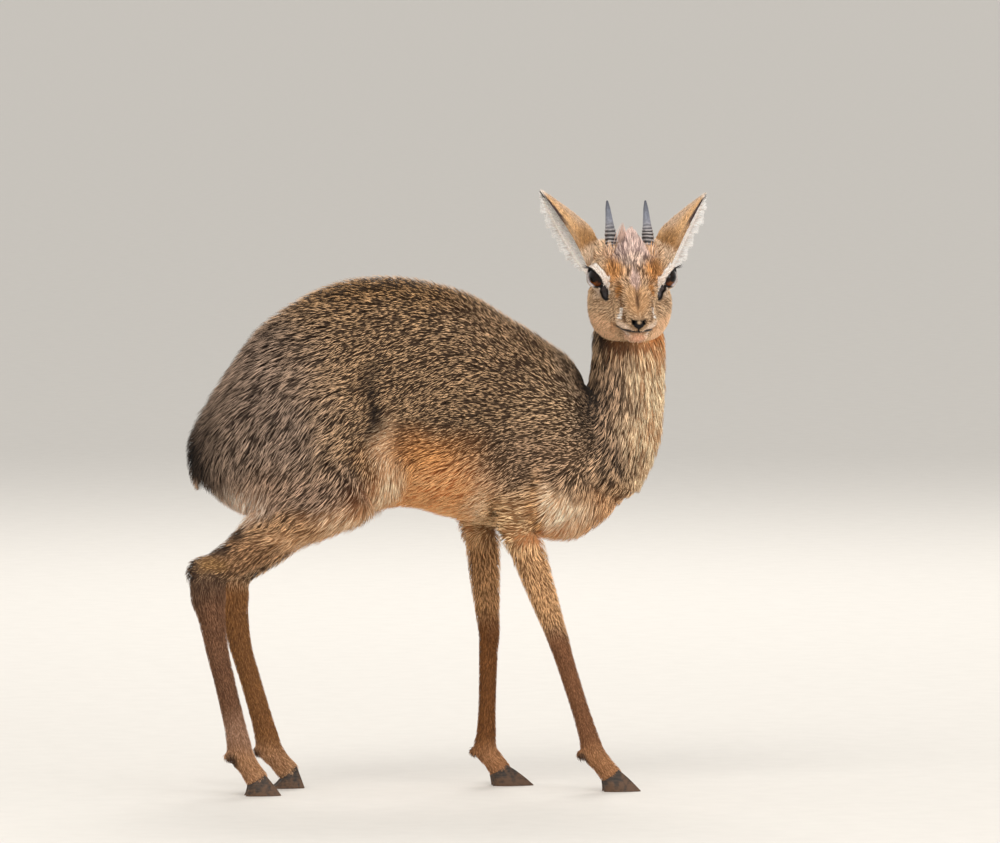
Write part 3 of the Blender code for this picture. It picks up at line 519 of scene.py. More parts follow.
class Finish:
    """A material's node tree, built by naming each node's inputs."""

    def __init__(self, name, roughness, specular=0.3, **fixed):
        self.made = bpy.data.materials.new(name)
        self.made.use_nodes = True
        self.tree = self.made.node_tree
        self.shader = self.tree.nodes["Principled BSDF"]
        self.shader.inputs["Roughness"].default_value = roughness
        self.shader.inputs["Specular IOR Level"].default_value = specular
        for key, value in fixed.items():
            self.shader.inputs[key.replace("_", " ")].default_value = value

    def node(self, kind, inputs=(), **settings):
        made = self.tree.nodes.new(kind)
        for key, value in settings.items():
            setattr(made, key, value)
        for key, value in dict(inputs).items():
            if isinstance(value, bpy.types.NodeSocket):
                self.tree.links.new(value, made.inputs[key])
            else:
                made.inputs[key].default_value = value
        return made

    def attribute(self, name, output="Fac"):
        return self.node("ShaderNodeAttribute", attribute_name=name).outputs[output]

    def noise(self, scale, detail=3.0, stretch=(1, 1, 1)):
        where = self.node("ShaderNodeTexCoord").outputs["Object"]
        where = self.node("ShaderNodeMapping", {"Vector": where, "Scale": stretch}).outputs["Vector"]
        return self.node("ShaderNodeTexNoise", {"Vector": where, "Scale": scale, "Detail": detail}).outputs["Fac"]

    def ramp(self, fac, stops):
        made = self.node("ShaderNodeValToRGB", {"Fac": fac})
        line = made.color_ramp.elements
        while len(line) < len(stops):
            line.new(0.5)
        for element, (place, value) in zip(line, stops):
            element.position = place
            element.color = (*np.broadcast_to(value, 3), 1)
        return made.outputs["Color"]

    def mix(self, fac, a, b, blend="MIX"):
        made = self.node("ShaderNodeMix", {0: fac}, data_type="RGBA", blend_type=blend)
        for index, value in ((6, a), (7, b)):
            if isinstance(value, bpy.types.NodeSocket):
                self.tree.links.new(value, made.inputs[index])
            else:
                made.inputs[index].default_value = (*np.broadcast_to(value, 3), 1)
        return made.outputs[2]

    def maths(self, operation, a, b=0.0):
        return self.node("ShaderNodeMath", {0: a, 1: b}, operation=operation).outputs[0]

    def bump(self, height, distance, strength=1.0):
        made = self.node("ShaderNodeBump", {"Height": height, "Distance": distance, "Strength": strength})
        self.tree.links.new(made.outputs["Normal"], self.shader.inputs["Normal"])

    def colour(self, socket):
        self.tree.links.new(socket, self.shader.inputs["Base Color"])
        return self.made


# Markings, and a few rows of painted shade: each row is a place, its radii, its edge's softness, then a dark and a
# light tone.
ANY = 1e4
SIDE_TONES = (linear(66, 48, 33), linear(238, 194, 148))
BODY_MARKS = [
    ((-10, 0, 462), (210, ANY, 42), 0.5, (60, 43, 27), (238, 184, 126)),
    ((-165, 0, 335), (82, ANY, 112), 0.45, (52, 39, 30), (184, 156, 134)),
    ((-120, 0, 262), (70, ANY, 30), 0.5, (70, 52, 39), (206, 170, 142)),
    ((-218, 0, 330), (36, ANY, 84), 0.6, (12, 8, 6), (56, 43, 34)),
    # a dark line in the crease between haunch and flank: painted shade
    ((-43, 0, 338), (7, ANY, 36), 0.7, (30, 21, 15), (98, 77, 58)),
    ((108, 0, 314), (36, ANY, 48), 0.6, (70, 52, 37), (248, 206, 160)),
    ((132, 0, 345), (12, ANY, 44), 0.6, (66, 49, 35), (246, 210, 170)),
    ((4, 0, 296), (42, ANY, 19), 0.9, (144, 92, 50), (248, 178, 112)),
    ((16, 0, 258), (68, ANY, 27), 0.6, (208, 124, 68), (255, 194, 132)),
    ((30, 0, 228), (150, ANY, 24), 0.4, (248, 158, 92), (255, 204, 146)),
    ((-42, 0, 256), (15, ANY, 24), 0.8, (192, 134, 90), (255, 212, 164)),
    ((-35, 0, 282), (9, ANY, 40), 0.9, (222, 172, 128), (255, 228, 190)),
    ((-66, 0, 242), (28, ANY, 13), 0.5, (196, 146, 104), (255, 222, 184)),
    ((-135, 0, 230), (48, ANY, 20), 0.5, (100, 74, 51), (240, 188, 138)),
    ((-165, 0, 212), (34, ANY, 20), 0.5, (100, 71, 48), (234, 180, 130)),
    ((-108, 0, 223), (36, ANY, 9), 0.5, (190, 138, 94), (252, 208, 162)),
    ((-170, 0, 258), (28, ANY, 17), 0.6, (248, 200, 164), (255, 248, 232)),
    ((-196, 0, 178), (24, ANY, 18), 0.4, (62, 42, 29), (122, 92, 70)),
    ((-211, 0, 195), (10, ANY, 12), 0.5, (54, 38, 27), (110, 82, 62)),
    ((-190, 0, 203), (11, ANY, 6), 0.6, (112, 80, 48), (216, 168, 110)),
    ((-186, 0, 217), (15, ANY, 7), 0.6, (56, 40, 28), (120, 92, 70)),
    ((-166, 0, 230), (14, ANY, 6), 0.6, (56, 41, 30), (126, 98, 76)),
    ((-170, 0, 95), (80, ANY, 84), 0.15, (86, 55, 36), (146, 104, 76)),
    ((-170, 33, 95), (80, 30, 84), 0.15, (102, 65, 36), (166, 114, 66)),
    ((-160, -33, 50), (40, 30, 28), 0.6, (118, 82, 58), (196, 154, 126)),
    ((-150, 0, 22), (60, ANY, 20), 0.5, (122, 82, 52), (218, 166, 122)),
    ((96, 0, 285), (50, ANY, 36), 0.6, (80, 60, 43), (226, 184, 146)),
    ((80, 0, 228), (40, ANY, 34), 0.6, (148, 106, 68), (255, 214, 162)),
    ((85, 0, 180), (60, ANY, 38), 0.3, (124, 86, 54), (246, 192, 138)),
    # painted shade: the far (left) forearm's tones darker than the near one's
    ((60, 33, 180), (60, 28, 40), 0.3, (96, 66, 40), (216, 162, 110)),
    ((100, 0, 70), (90, ANY, 74), 0.2, (98, 62, 38), (160, 110, 76)),
    # painted shade: the far (left) lower foreleg's tones darker than the near one's
    ((60, 33, 70), (60, 28, 74), 0.2, (90, 55, 27), (150, 96, 50)),
    ((110, 0, 20), (90, ANY, 24), 0.4, (124, 82, 52), (206, 150, 104)),
    ((148, 0, 246), (48, ANY, 24), 0.5, (142, 96, 62), (255, 200, 148)),
    ((124, 0, 227), (44, ANY, 13), 0.6, (226, 148, 92), (255, 202, 146)),
    ((118, 0, 254), (22, ANY, 16), 0.6, (252, 206, 162), (255, 238, 208)),
    ((97, 0, 240), (6, ANY, 30), 0.8, (144, 98, 58), (244, 186, 124)),
    ((162, 0, 350), (32, ANY, 72), 0.4, (42, 32, 24), (196, 160, 128)),
    # dark in the fold between the neck's base and the shoulder: painted shade
    ((141, 0, 372), (11, ANY, 46), 0.6, (28, 21, 15), (118, 95, 74)),
    ((208, 0, 345), (31, ANY, 98), 0.5, (186, 140, 100), (255, 228, 186)),
    ((148, 0, 402), (20, ANY, 26), 0.5, (36, 27, 20), (176, 144, 112)),
    ((204, -16, 403), (34, 38, 17), 0.6, (184, 116, 64), (255, 200, 140))]
HEAD_TONES = (linear(112, 82, 54), linear(238, 200, 160))
HEAD_MARKS = [  # the same in the head's forward, sideways and up
    ((-32, 0, 6), (20, 60, 30), 0.4, (92, 62, 38), (214, 166, 120)),
    ((2, 0, 16), (30, 24, 15), 0.4, (80, 53, 33), (236, 192, 152)),
    ((8, 17, 12), (17, 8, 9), 0.5, (112, 68, 31), (224, 160, 98)),
    ((27, 12.0, 2), (6.5, 4.5, 5), 0.5, (96, 59, 29), (196, 132, 70)),
    ((42, 0, 0), (20, 9.5, 10), 0.35, (162, 120, 80), (226, 180, 134)),
    ((20, 0, 9), (15, 3.6, 6), 0.45, (164, 134, 120), (222, 190, 176)),
    ((44, 0.3, 1), (10, 0.8, 7), 0.6, (78, 53, 35), (120, 84, 57)),
    ((-16, 0, 25), (19, 19, 16), 0.4, (126, 102, 98), (232, 202, 190)),
    ((0, 0, 17), (10, 13, 5), 0.6, (96, 74, 66), (236, 206, 186)),
    ((-32, 24, 12), (12, 13, 13), 0.5, (112, 74, 42), (252, 214, 176)),
    ((-16, 38, 4), (12, 8, 9), 0.5, (210, 186, 168), (252, 242, 232)),
    ((4, 37, -9), (12, 10, 6), 0.5, (212, 184, 160), (255, 240, 224)),
    ((14, 24, -38), (26, 16, 13), 0.45, (176, 126, 86), (252, 206, 164)),
    ((46, 0, -30), (14, 9, 8), 0.4, (192, 132, 98), (248, 204, 174)),
    ((51, 9, -18.5), (10, 8, 3.6), 0.5, (196, 164, 138), (250, 228, 208)),
    ((50, 11, -26), (10, 5, 2.2), 0.5, (206, 176, 152), (252, 236, 222))]
DEWCLAW_MARKS = [((x, 0, 30), (6, ANY, 6), 0.5, (58, 40, 28), (108, 78, 56)) for x in (-179, -143, 131, 46)]
ELBOW_MARKS = [
    ((49, 0, 254), (7, ANY, 15), 0.9, (200, 142, 94), (255, 218, 176))]
# painted shade: a dark line in the fold between the muzzle and the cheek
MUZZLE_FOLD_SHADE = ((37, 11.2, -0.5), (54.5, 10.4, -12.5))
LIP_HUB, LIP_TURN, LIP_OUT = 40, 2.05, 1.8  # forward place of the rays' start, their widest turn, the seam's level
# painted highlights: white spots beside the nose pad, drawn as pale hair
MUZZLE_HIGHLIGHT = ((44, 14.0, -6.0), (46, 13.4, -13.5))
WHITE_RING = (linear(214, 190, 170), linear(250, 244, 238))
BLACK_SKIN = linear(20, 17, 17)


def patch(points, centre, radii, soft):
    """1 inside an ellipsoid and 0 outside it, with a soft edge."""
    share = np.linalg.norm((points - np.array(centre)) / np.array(radii), axis=1)
    return smoothstep(1 + soft, 1 - soft, share)


def mottle(points, size, seed):
    """A smooth swell between -1 and 1: a sum of sine waves in turned directions."""
    waves = np.random.default_rng(seed)
    total = np.zeros(len(points))
    for _ in range(5):
        direction = unit(waves.normal(size=3)) * 2 * np.pi / (size * waves.uniform(0.6, 1.5))
        total += np.sin(points @ direction + waves.uniform(0, 6.28))
    return total / 2.6


def head_share(points):
    """1 on the head, 0 on the neck and body, changing over a few millimetres."""
    above = smoothstep(-5, 6, (points - np.array([178, -10, 411])) @ unit(np.array([0, -40.0, 72])))
    return above * smoothstep(112, 120, points[:, 0])


def markings(points):
    """The coat's dark and light tones at each point, with some painted shade and highlights among them, how bare and
    black the skin is, and how far off bare skin is.
    """
    dark = np.tile(SIDE_TONES[0], (len(points), 1))
    light = np.tile(SIDE_TONES[1], (len(points), 1))
    uneven = points + 5.0 * np.stack([mottle(points, 34, seed) for seed in (1, 2, 3)], axis=1)
    for centre, radii, soft, dark_tone, light_tone in BODY_MARKS + DEWCLAW_MARKS + ELBOW_MARKS:
        share = patch(uneven, centre, radii, soft)[:, None]
        dark = dark * (1 - share) + linear(*dark_tone) * share
        light = light * (1 - share) + linear(*light_tone) * share
    head = head_share(points)[:, None]
    q = head_coords(points)
    q[:, 1] = np.abs(q[:, 1])
    head_dark = np.tile(HEAD_TONES[0], (len(points), 1))
    head_light = np.tile(HEAD_TONES[1], (len(points), 1))
    for centre, radii, soft, dark_tone, light_tone in HEAD_MARKS:
        share = patch(q, centre, radii, soft)[:, None]
        head_dark = head_dark * (1 - share) + linear(*dark_tone) * share
        head_light = head_light * (1 - share) + linear(*light_tone) * share
    radius, almond, turn, rise = eye_place(q)
    gland = gland_distance(q) + 99.0 * (radius > 26)
    over = np.maximum(smoothstep(-0.15, 0.2, rise), smoothstep(0.65, 0.9, turn) * smoothstep(-1.1, -0.6, rise))
    reach = 5.2 - 2.3 * smoothstep(0.8, 1.4, turn) - 2.4 * smoothstep(-0.5, -1.1, turn)
    reach = np.maximum(reach * over, 1.8 * smoothstep(-0.7, -0.95, turn))
    ring = smoothstep(reach + 0.5, reach - 0.5, almond) * (radius < EYE_RADIUS + 10) * (reach > 0.5)
    ring = np.maximum(ring, smoothstep(2.8, 2.1, line_distance(q, *WHITE_ARM)))
    # painted shade along the fold between muzzle and cheek
    fold_shade = smoothstep(2.4, 1.2, line_distance(q, *MUZZLE_FOLD_SHADE))
    # white spots beside the nose pad: painted highlights
    tuft = smoothstep(2.3, 1.5, line_distance(q, *MUZZLE_HIGHLIGHT))
    slot = smoothstep(0.7, -0.5, gland)
    # the gland's deep middle, made grey on the bare skin: painted highlight
    hollow = smoothstep(-0.5, -2.6, gland)
    # laid over the head's tones: the white ring, painted shade in the muzzle's fold, painted highlights beside the
    # nose, and the gland's dark slot
    layers = ((ring, *WHITE_RING), (fold_shade, linear(74, 50, 32), linear(128, 88, 56)),
              (tuft, linear(236, 226, 214), linear(254, 250, 244)), (slot, linear(40, 35, 36), linear(84, 77, 78)))
    for share, dark_tone, light_tone in layers:
        share = share[:, None]
        head_dark = head_dark * (1 - share) + dark_tone * share
        head_light = head_light * (1 - share) + light_tone * share
    dark = dark * (1 - head) + head_dark * head
    light = light * (1 - head) + head_light * head
    margin = 0.25 + 0.35 * (rise > 0) + 0.4 * smoothstep(0.5, 0.85, turn) * smoothstep(0.6, 0.0, np.abs(rise + 0.15))
    lid_edge = almond - margin
    mouth = np.where(q[:, 0] > MOUTH_BACK + 2, np.abs(mouth_height(q)), 99.0)
    cleft = np.where((q[:, 0] > 52) & (q[:, 2] < -16) & (q[:, 2] > MOUTH_UP), q[:, 1], 99.0)
    pad = pad_share(q)
    spot = patch(q, (62, 0, -10.6), (9, 1.6, 1.5), 0.4)
    bare = np.maximum.reduce([
        smoothstep(0.25, -0.25, lid_edge) * (radius < EYE_RADIUS + 6), pad, smoothstep(0.2, -0.3, gland),
        smoothstep(1.0, 0.6, cleft), smoothstep(1.25, 0.7, mouth) * (1 - 0.3 * smoothstep(8, 13, q[:, 1]))])
    clear = np.minimum.reduce([np.where(radius < EYE_RADIUS + 8, lid_edge, 99), gland,
                               mouth - 1.7 - 1.3 * smoothstep(4, 10, q[:, 1]), cleft - 0.9, 6 * (1 - pad) + 30 * smoothstep(50, 40, q[:, 0])])
    clear = np.where(head[:, 0] > 0.5, np.clip(clear, -1, 9), 9.0)
    # a pale line on the wet lower lid's rim: painted highlight
    lid_glint = smoothstep(0.3, 0.0, almond) * smoothstep(0.05, -0.1, rise) * smoothstep(0.4, 0.0, turn) * (radius < 14)
    return dict(lid_glint=lid_glint, dark=dark, light=light, bare=np.clip(bare, 0, 1) * head[:, 0], clear=clear, spot=spot,
                slot=hollow * head[:, 0])


def skin_material():
    """Short dark undercoat: streaks and pores over the markings."""
    finish = Finish("hide", 0.85, 0.2)
    tone = finish.attribute("tone", "Color")
    fine = finish.noise(900, 4)
    broad = finish.noise(120, 3)
    shade = finish.ramp(fine, [(0.3, 0.62), (0.7, 1.15)])
    shade = finish.mix(1.0, shade, finish.ramp(broad, [(0.3, 0.86), (0.7, 1.1)]), "MULTIPLY")
    finish.bump(fine, 0.0006, 0.7)
    return finish.colour(finish.mix(1.0, tone, shade, "MULTIPLY"))


def build_skin():
    """The skin: a surface net over the whole animal, split finer on the face and finer still at eyes and muzzle."""
    cell = 2.5
    points, faces = surface_net(skin, (-222, -130, 0), (226, 74, 498), cell)
    mesh = bmesh.new()
    data = mesh_of("skin", points, faces)
    mesh.from_mesh(data)
    bpy.data.meshes.remove(data)
    for level in (1, 2):
        middles = np.array([face.calc_center_median() for face in mesh.faces]) / MM + ORIGIN
        q = head_coords(middles)
        side = np.abs(q[:, 1])
        if level == 1:
            fine = (q[:, 0] > -24) & (q[:, 2] > -48) & (side < 60) & (middles[:, 2] > 385)
        else:
            beside = np.linalg.norm(np.stack([q[:, 0], side, q[:, 2]], axis=1) - np.array(EYE_CENTRE), axis=1) < 19
            fine = beside | ((q[:, 0] > 31) & (q[:, 2] > -32) & (q[:, 2] < -3) & (side < 18))
        chosen = [face for face, keep in zip(mesh.faces, fine) if keep]
        edges = list({edge for face in chosen for edge in face.edges})
        bmesh.ops.subdivide_edges(mesh, edges=edges, cuts=1, use_grid_fill=True)
    bmesh.ops.triangulate(mesh, faces=[face for face in mesh.faces if len(face.verts) > 4])
    data = bpy.data.meshes.new("skin")
    mesh.to_mesh(data)
    points = np.empty(len(data.vertices) * 3, np.float32)
    data.vertices.foreach_get("co", points)
    points = points.reshape(-1, 3) / MM + ORIGIN
    face = head_coords(points)[:, 0] > -30
    face &= points[:, 2] > 380
    points[face] = settled(skin, points[face], 1.4, 4)
    data.vertices.foreach_set("co", placed(points).astype(np.float32).ravel())
    data.update()
    marks = markings(points)
    bare, spot, slot = (marks[key][:, None] for key in ("bare", "spot", "slot"))
    black = BLACK_SKIN * (1 - spot) + linear(158, 132, 104) * spot
    # grey in the gland's middle: painted highlight
    black = black * (1 - slot) + linear(92, 85, 86) * slot
    # pale on the lower lid's rim: painted highlight
    lid_glint = marks["lid_glint"][:, None]
    black = black * (1 - lid_glint) + linear(190, 180, 176) * lid_glint
    tone = (0.78 * marks["dark"] + 0.22 * marks["light"]) * (1 - bare) + black * bare
    set_colour(data, "tone", tone)
    replaced = ["head", "neck", "trunk", "rump", "tail"]
    replaced += [f"{s}_{w}_{p}" for s in ("left", "right") for w in ("fore", "hind") for p in
                 ("upper", "lower", "pastern")]
    return new_object("skin", data, skin_material(), replaced)


# Eyes.

def eye_material():
    """Brown iris with fibres, a level oval pupil, shade under the upper lid, a pale bluish painted highlight along the
    lower lid and a glossy surface.
    """
    finish = Finish("eye", 0.08, 0.16)
    polar, pupil = finish.attribute("polar"), finish.attribute("pupil")
    shade, eye_glint = finish.attribute("shade"), finish.attribute("eye_glint")
    fibres = finish.noise(700, 5, (1, 1, 0.5))
    iris = finish.ramp(fibres, [(0.3, linear(62, 30, 10)), (0.7, linear(132, 74, 30))])
    rings = finish.ramp(polar, [(0.0, linear(60, 40, 30)), (0.36, linear(255, 255, 255)),
                                (0.66, linear(200, 170, 150)), (0.78, linear(30, 20, 18)), (1.0, linear(24, 22, 26))])
    colour = finish.mix(1.0, iris, rings, "MULTIPLY")
    colour = finish.mix(pupil, colour, linear(5, 4, 5))
    colour = finish.mix(shade, colour, linear(9, 6, 5))
    # a pale bluish line on the eyeball along the lower lid: painted highlight
    return finish.colour(finish.mix(eye_glint, colour, linear(176, 178, 192)))


def build_eye(name, sign, material):
    """An eyeball: a sphere about the way it looks, with a low bell-shaped cornea."""
    polar, around = np.meshgrid(np.linspace(0, np.pi, 49)[1:-1], np.linspace(0, 2 * np.pi, 72, endpoint=False),
                                indexing="ij")
    radius = (EYE_RADIUS - 0.25) * (1 + 0.035 * np.exp(-(polar / 0.55) ** 2))
    rim = radius[..., None] * (np.cos(polar)[..., None] * EYE_AIM + np.sin(polar)[..., None] * (
        np.cos(around)[..., None] * EYE_ALONG + np.sin(around)[..., None] * EYE_UP))
    ends = np.array([radius[0, 0] * EYE_AIM, -(EYE_RADIUS - 0.25) * EYE_AIM])
    local = np.vstack([rim.reshape(-1, 3), ends]) + np.array(EYE_CENTRE)
    local[:, 1] *= sign
    rows, count = polar.shape
    index = np.arange(rows * count).reshape(rows, count)
    turned = np.roll(index, -1, axis=1)
    sides = np.stack([index[:-1], index[1:], turned[1:], turned[:-1]], axis=-1).reshape(-1, 4)
    triangles = np.vstack([sides[:, [0, 1, 2]], sides[:, [0, 2, 3]],
                           np.stack([np.full(count, rows * count), index[0], turned[0]], axis=1),
                           np.stack([turned[-1], index[-1], np.full(count, rows * count + 1)], axis=1)])
    if sign < 0:
        triangles = triangles[:, ::-1]
    data = mesh_of(f"{name}_eyeball", EYE_MIDDLE + local @ HEAD_AXES, triangles)
    every_polar = np.append(polar.ravel(), [0, np.pi])
    every_turn = np.append(around.ravel(), [0, 0])
    across, up = np.sin(every_polar) * np.cos(every_turn), np.sin(every_polar) * np.sin(every_turn)
    local[:, 1] *= sign
    _, almond, turn, rise = eye_place(local)
    set_number(data, "polar", np.clip(every_polar / 1.2, 0, 1))
    set_number(data, "pupil", smoothstep(1.1, 0.9, np.hypot(across / 0.36, up / 0.24)) * (every_polar < 1.5))
    set_number(data, "shade", 0.95 * smoothstep(-0.28, 0.12, up + 0.12 * across))
    # a pale crescent along the lower outer lid: painted highlight
    set_number(data, "eye_glint", smoothstep(-1.9, -1.3, almond) * (rise < 0) * smoothstep(-1.0, -0.7, turn)
               * smoothstep(0.35, -0.1, turn) * 0.85)
    return new_object(f"{name}_eyeball", data, material, [f"{name}_eye"])


# Horns, ears and hooves.

def tube(rings):
    """Triangles between closed rings joined in order, and a fan over each end. rings is (rows, around, 3)."""
    rows, count = rings.shape[:2]
    index = np.arange(rows * count).reshape(rows, count)
    turned = np.roll(index, -1, axis=1)
    a, b, c, d = index[:-1], index[1:], turned[1:], turned[:-1]
    first, last = rows * count, rows * count + 1
    points = np.vstack([rings.reshape(-1, 3), rings[0].mean(axis=0), rings[-1].mean(axis=0)])
    faces = np.vstack([np.stack([a, b, c], axis=-1).reshape(-1, 3), np.stack([a, c, d], axis=-1).reshape(-1, 3),
                       np.stack([turned[0], index[0], np.full(count, first)][::-1], axis=1)[:, ::-1],
                       np.stack([index[-1], turned[-1], np.full(count, last)], axis=1)])
    return points, faces


def outward(data):
    """Turns a closed mesh's faces to point out."""
    mesh = bmesh.new()
    mesh.from_mesh(data)
    bmesh.ops.recalc_face_normals(mesh, faces=mesh.faces[:])
    if mesh.calc_volume(signed=True) < 0:
        bmesh.ops.reverse_faces(mesh, faces=mesh.faces[:])
    mesh.to_mesh(data)
    mesh.free()


def horn_material():
    """Blue-grey keratin with fine lines along it, dark between uneven rings and paler on their crests: painted shade
    and painted highlights.
    """
    finish = Finish("horn", 0.42, 0.4)
    crest = finish.attribute("crest")
    place = finish.attribute("place")
    grain = finish.noise(420, 5)
    broken = finish.noise(170, 3, (1, 1, 0.6))
    # dark between the rings and pale on their crests: painted shade and painted highlight
    uneven = finish.maths("ADD", crest, finish.maths("MULTIPLY", finish.maths("SUBTRACT", broken, 0.5), 1.1))
    low = finish.ramp(uneven, [(0.15, linear(36, 31, 31)), (0.5, linear(84, 77, 77)), (1.0, linear(160, 153, 151))])
    high = finish.ramp(place, [(0.5, linear(140, 138, 144)), (0.75, linear(112, 115, 126)), (1.0, linear(66, 67, 76))])
    keratin = finish.mix(finish.ramp(place, [(0.50, 0.0), (0.66, 1.0)]), low, high)
    finish.bump(grain, 0.0005, 0.8)
    return finish.colour(finish.mix(1.0, keratin, finish.ramp(grain, [(0.3, 0.7), (0.7, 1.2)]), "MULTIPLY"))


HORN_RINGED, HORN_RINGS = (0.20, 0.64), 8


def build_horn(name, sign, material):
    """A tapering horn: circles along a line, swollen by a wave over the ringed part."""
    root, tip = np.array(HORN_ROOTS[name], float), np.array(HORN_TIPS[name], float)
    axis = unit(tip - root)
    across = unit(np.cross(axis, (0, 1.0, 0)))
    other = np.cross(axis, across)
    place = np.concatenate([np.linspace(0, 0.985, 150), [0.993, 0.998, 1.0]])
    radius = np.interp(place, *np.transpose(HORN_RADII)) - 0.1
    radius[-3:] *= (0.8, 0.55, 0.3)
    share = np.clip((place - HORN_RINGED[0]) / (HORN_RINGED[1] - HORN_RINGED[0]), 0, 1)
    wave = 0.5 + 0.5 * np.cos(2 * np.pi * (HORN_RINGS * share + 0.22 * np.sin(7 * share + sign)))
    fade = smoothstep(0, 0.08, share) * smoothstep(1.0, 0.75, share)
    angle = np.linspace(0, 2 * np.pi, 48, endpoint=False)
    tilt = 0.012 * np.cos(angle)[None, :] + 0.006 * np.sin(2 * angle + 9 * place[:, None])
    swell = 0.6 * fade[:, None] * (wave[:, None] ** 0.7 - 0.5) * (1 + 0.12 * np.cos(3 * angle + 1))[None, :]
    reach = radius[:, None] + swell
    centre = root + (tip - root) * place[:, None]
    rings = centre[:, None, :] + (tip - root) * tilt[..., None] * fade[:, None, None]
    rings = rings + reach[..., None] * (np.cos(angle)[:, None] * across + np.sin(angle)[:, None] * other)
    rings = EYE_MIDDLE + rings @ HEAD_AXES
    points, faces = tube(rings)
    data = mesh_of(f"{name}_horn_sheath", points, faces)
    outward(data)
    # crest drives the horn's painted ring shade and highlights
    crest = np.where(fade > 0.02, wave, 0.3 + 0.2 * place)
    set_number(data, "crest", np.append(np.repeat(crest, len(angle)), [0, 0]))
    set_number(data, "place", np.append(np.repeat(place, len(angle)), [0, 1]))
    return new_object(f"{name}_horn_sheath", data, material, [f"{name}_horn"])


def ear_frame(name):
    """The ear's root, tip, and the directions of its axis, of the cup's mouth and of its front rim."""
    root, tip = (np.array(end, float) for end in EARS[name])
    sign = np.sign(root[1])
    axis = unit(tip - root)
    outside = np.array([0.0, sign, 0.0])
    outside = unit(outside - axis * (outside @ axis))
    ahead = np.cross(outside, axis) * sign
    mouth = np.cos(EAR_TURN) * outside + np.sin(EAR_TURN) * ahead
    return root, tip, axis, mouth, np.cross(mouth, axis) * sign


EAR_INSET, EAR_WALL = 0.5, 1.1  # room for the hair outside, and the skin's thickness
EAR_FOOT = [(-0.26, 5, 6), (-0.12, 9, 14)]  # the funnel below the ear's root, as in EAR_WIDTHS


def ear_surface(name, place, angle, inset):
    """A point of the cup: half an oval, its depth against the mouth, its width towards the front rim."""
    root, tip, axis, mouth, rim = ear_frame(name)
    stations = smooth_rows(EAR_FOOT + EAR_WIDTHS, 6)
    width = np.interp(place, stations[:, 0], stations[:, 1]) - inset
    depth = np.interp(place, stations[:, 0], stations[:, 2]) - inset
    width, depth = np.maximum(width, 0.4), np.maximum(depth, 0.4)
    local = root + (tip - root) * place[..., None]
    local = local - (depth * np.cos(angle))[..., None] * mouth + (width * np.sin(angle))[..., None] * rim
    return EYE_MIDDLE + local @ HEAD_AXES


def ear_material():
    """Thin skin with short hair: the markings' tone with fine streaks and a soft bump."""
    finish = Finish("ear_skin", 0.8, 0.2, Subsurface_Weight=0.08, Subsurface_Scale=0.002)
    tone = finish.attribute("tone", "Color")
    fine = finish.noise(1000, 4)
    finish.bump(fine, 0.0005, 0.7)
    return finish.colour(finish.mix(1.0, tone, finish.ramp(fine, [(0.3, 0.72), (0.7, 1.12)]), "MULTIPLY"))


def ear_tones(place, angle, inner):
    """Tones by the place along the ear, the angle from the cup's back to its front rim, and the side of its wall."""
    count = len(place)
    dark, light = np.tile(linear(146, 104, 62), (count, 1)), np.tile(linear(238, 192, 142), (count, 1))
    low = smoothstep(0.30, 0.08, place)
    back = smoothstep(1.25, 0.7, np.abs(angle)) * smoothstep(0.15, 0.45, place)
    margin = smoothstep(1.34, 1.44, angle) * (0.35 + 0.65 * smoothstep(0.35, 0.6, place))
    root = smoothstep(0.44, 0.24, place) * smoothstep(0.5, 0.9, angle) * smoothstep(1.45, 1.3, angle)
    rear = smoothstep(-1.1, -1.4, angle)
    tip = smoothstep(0.86, 0.98, place)
    layers = [(low * 0.8, (114, 78, 42), (216, 160, 100)),
              (back * 0.8, (136, 110, 90), (220, 190, 164)),
              (root * 0.7, (52, 36, 22), (168, 118, 66)),
              (rear * 0.7, (150, 116, 84), (232, 200, 168)),
              (margin, (42, 32, 35), (80, 62, 60)),
              (tip * 0.9, (150, 130, 116), (236, 222, 208)),
              (smoothstep(0.14, 0.02, place) * 0.8, (150, 112, 78), (252, 226, 198)),
              (inner, (222, 208, 196), (255, 252, 248))]
    for share, dark_tone, light_tone in layers:
        share = share[:, None]
        dark = dark * (1 - share) + linear(*dark_tone) * share
        light = light * (1 - share) + linear(*light_tone) * share
    return dark, light


def build_ear(name, material):
    """The ear's shell: rings of an outer and an inner half oval, joined by rounded rims."""
    place = np.linspace(-0.26, 1.0, 64)
    arc = np.linspace(-np.pi / 2, np.pi / 2, 30)
    places, angles = np.meshgrid(place, arc, indexing="ij")
    outer = ear_surface(name, places, angles, EAR_INSET)
    inner = ear_surface(name, places, angles, EAR_INSET + EAR_WALL)[:, ::-1]
    rings = np.concatenate([outer, inner], axis=1)
    points, faces = tube(rings)
    data = mesh_of(f"{name}_ear_shell", points, faces)
    outward(data)
    flat_place = np.append(np.concatenate([places, places], axis=1).ravel(), [0, 1])
    flat_angle = np.append(np.concatenate([angles, angles[:, ::-1]], axis=1).ravel(), [0, 0])
    inside = np.append(np.concatenate([0 * angles, 0 * angles + 1], axis=1).ravel(), [0, 0])
    dark, light = ear_tones(flat_place, flat_angle, inside)
    tone = 0.5 * dark + 0.5 * light
    hollow = (inside * smoothstep(1.35, 0.8, np.abs(flat_angle)))[:, None]
    tone = tone * (1 - hollow) + linear(138, 104, 90) * hollow
    set_colour(data, "tone", tone)
    return new_object(f"{name}_ear_shell", data, material, [f"{name}_ear"])


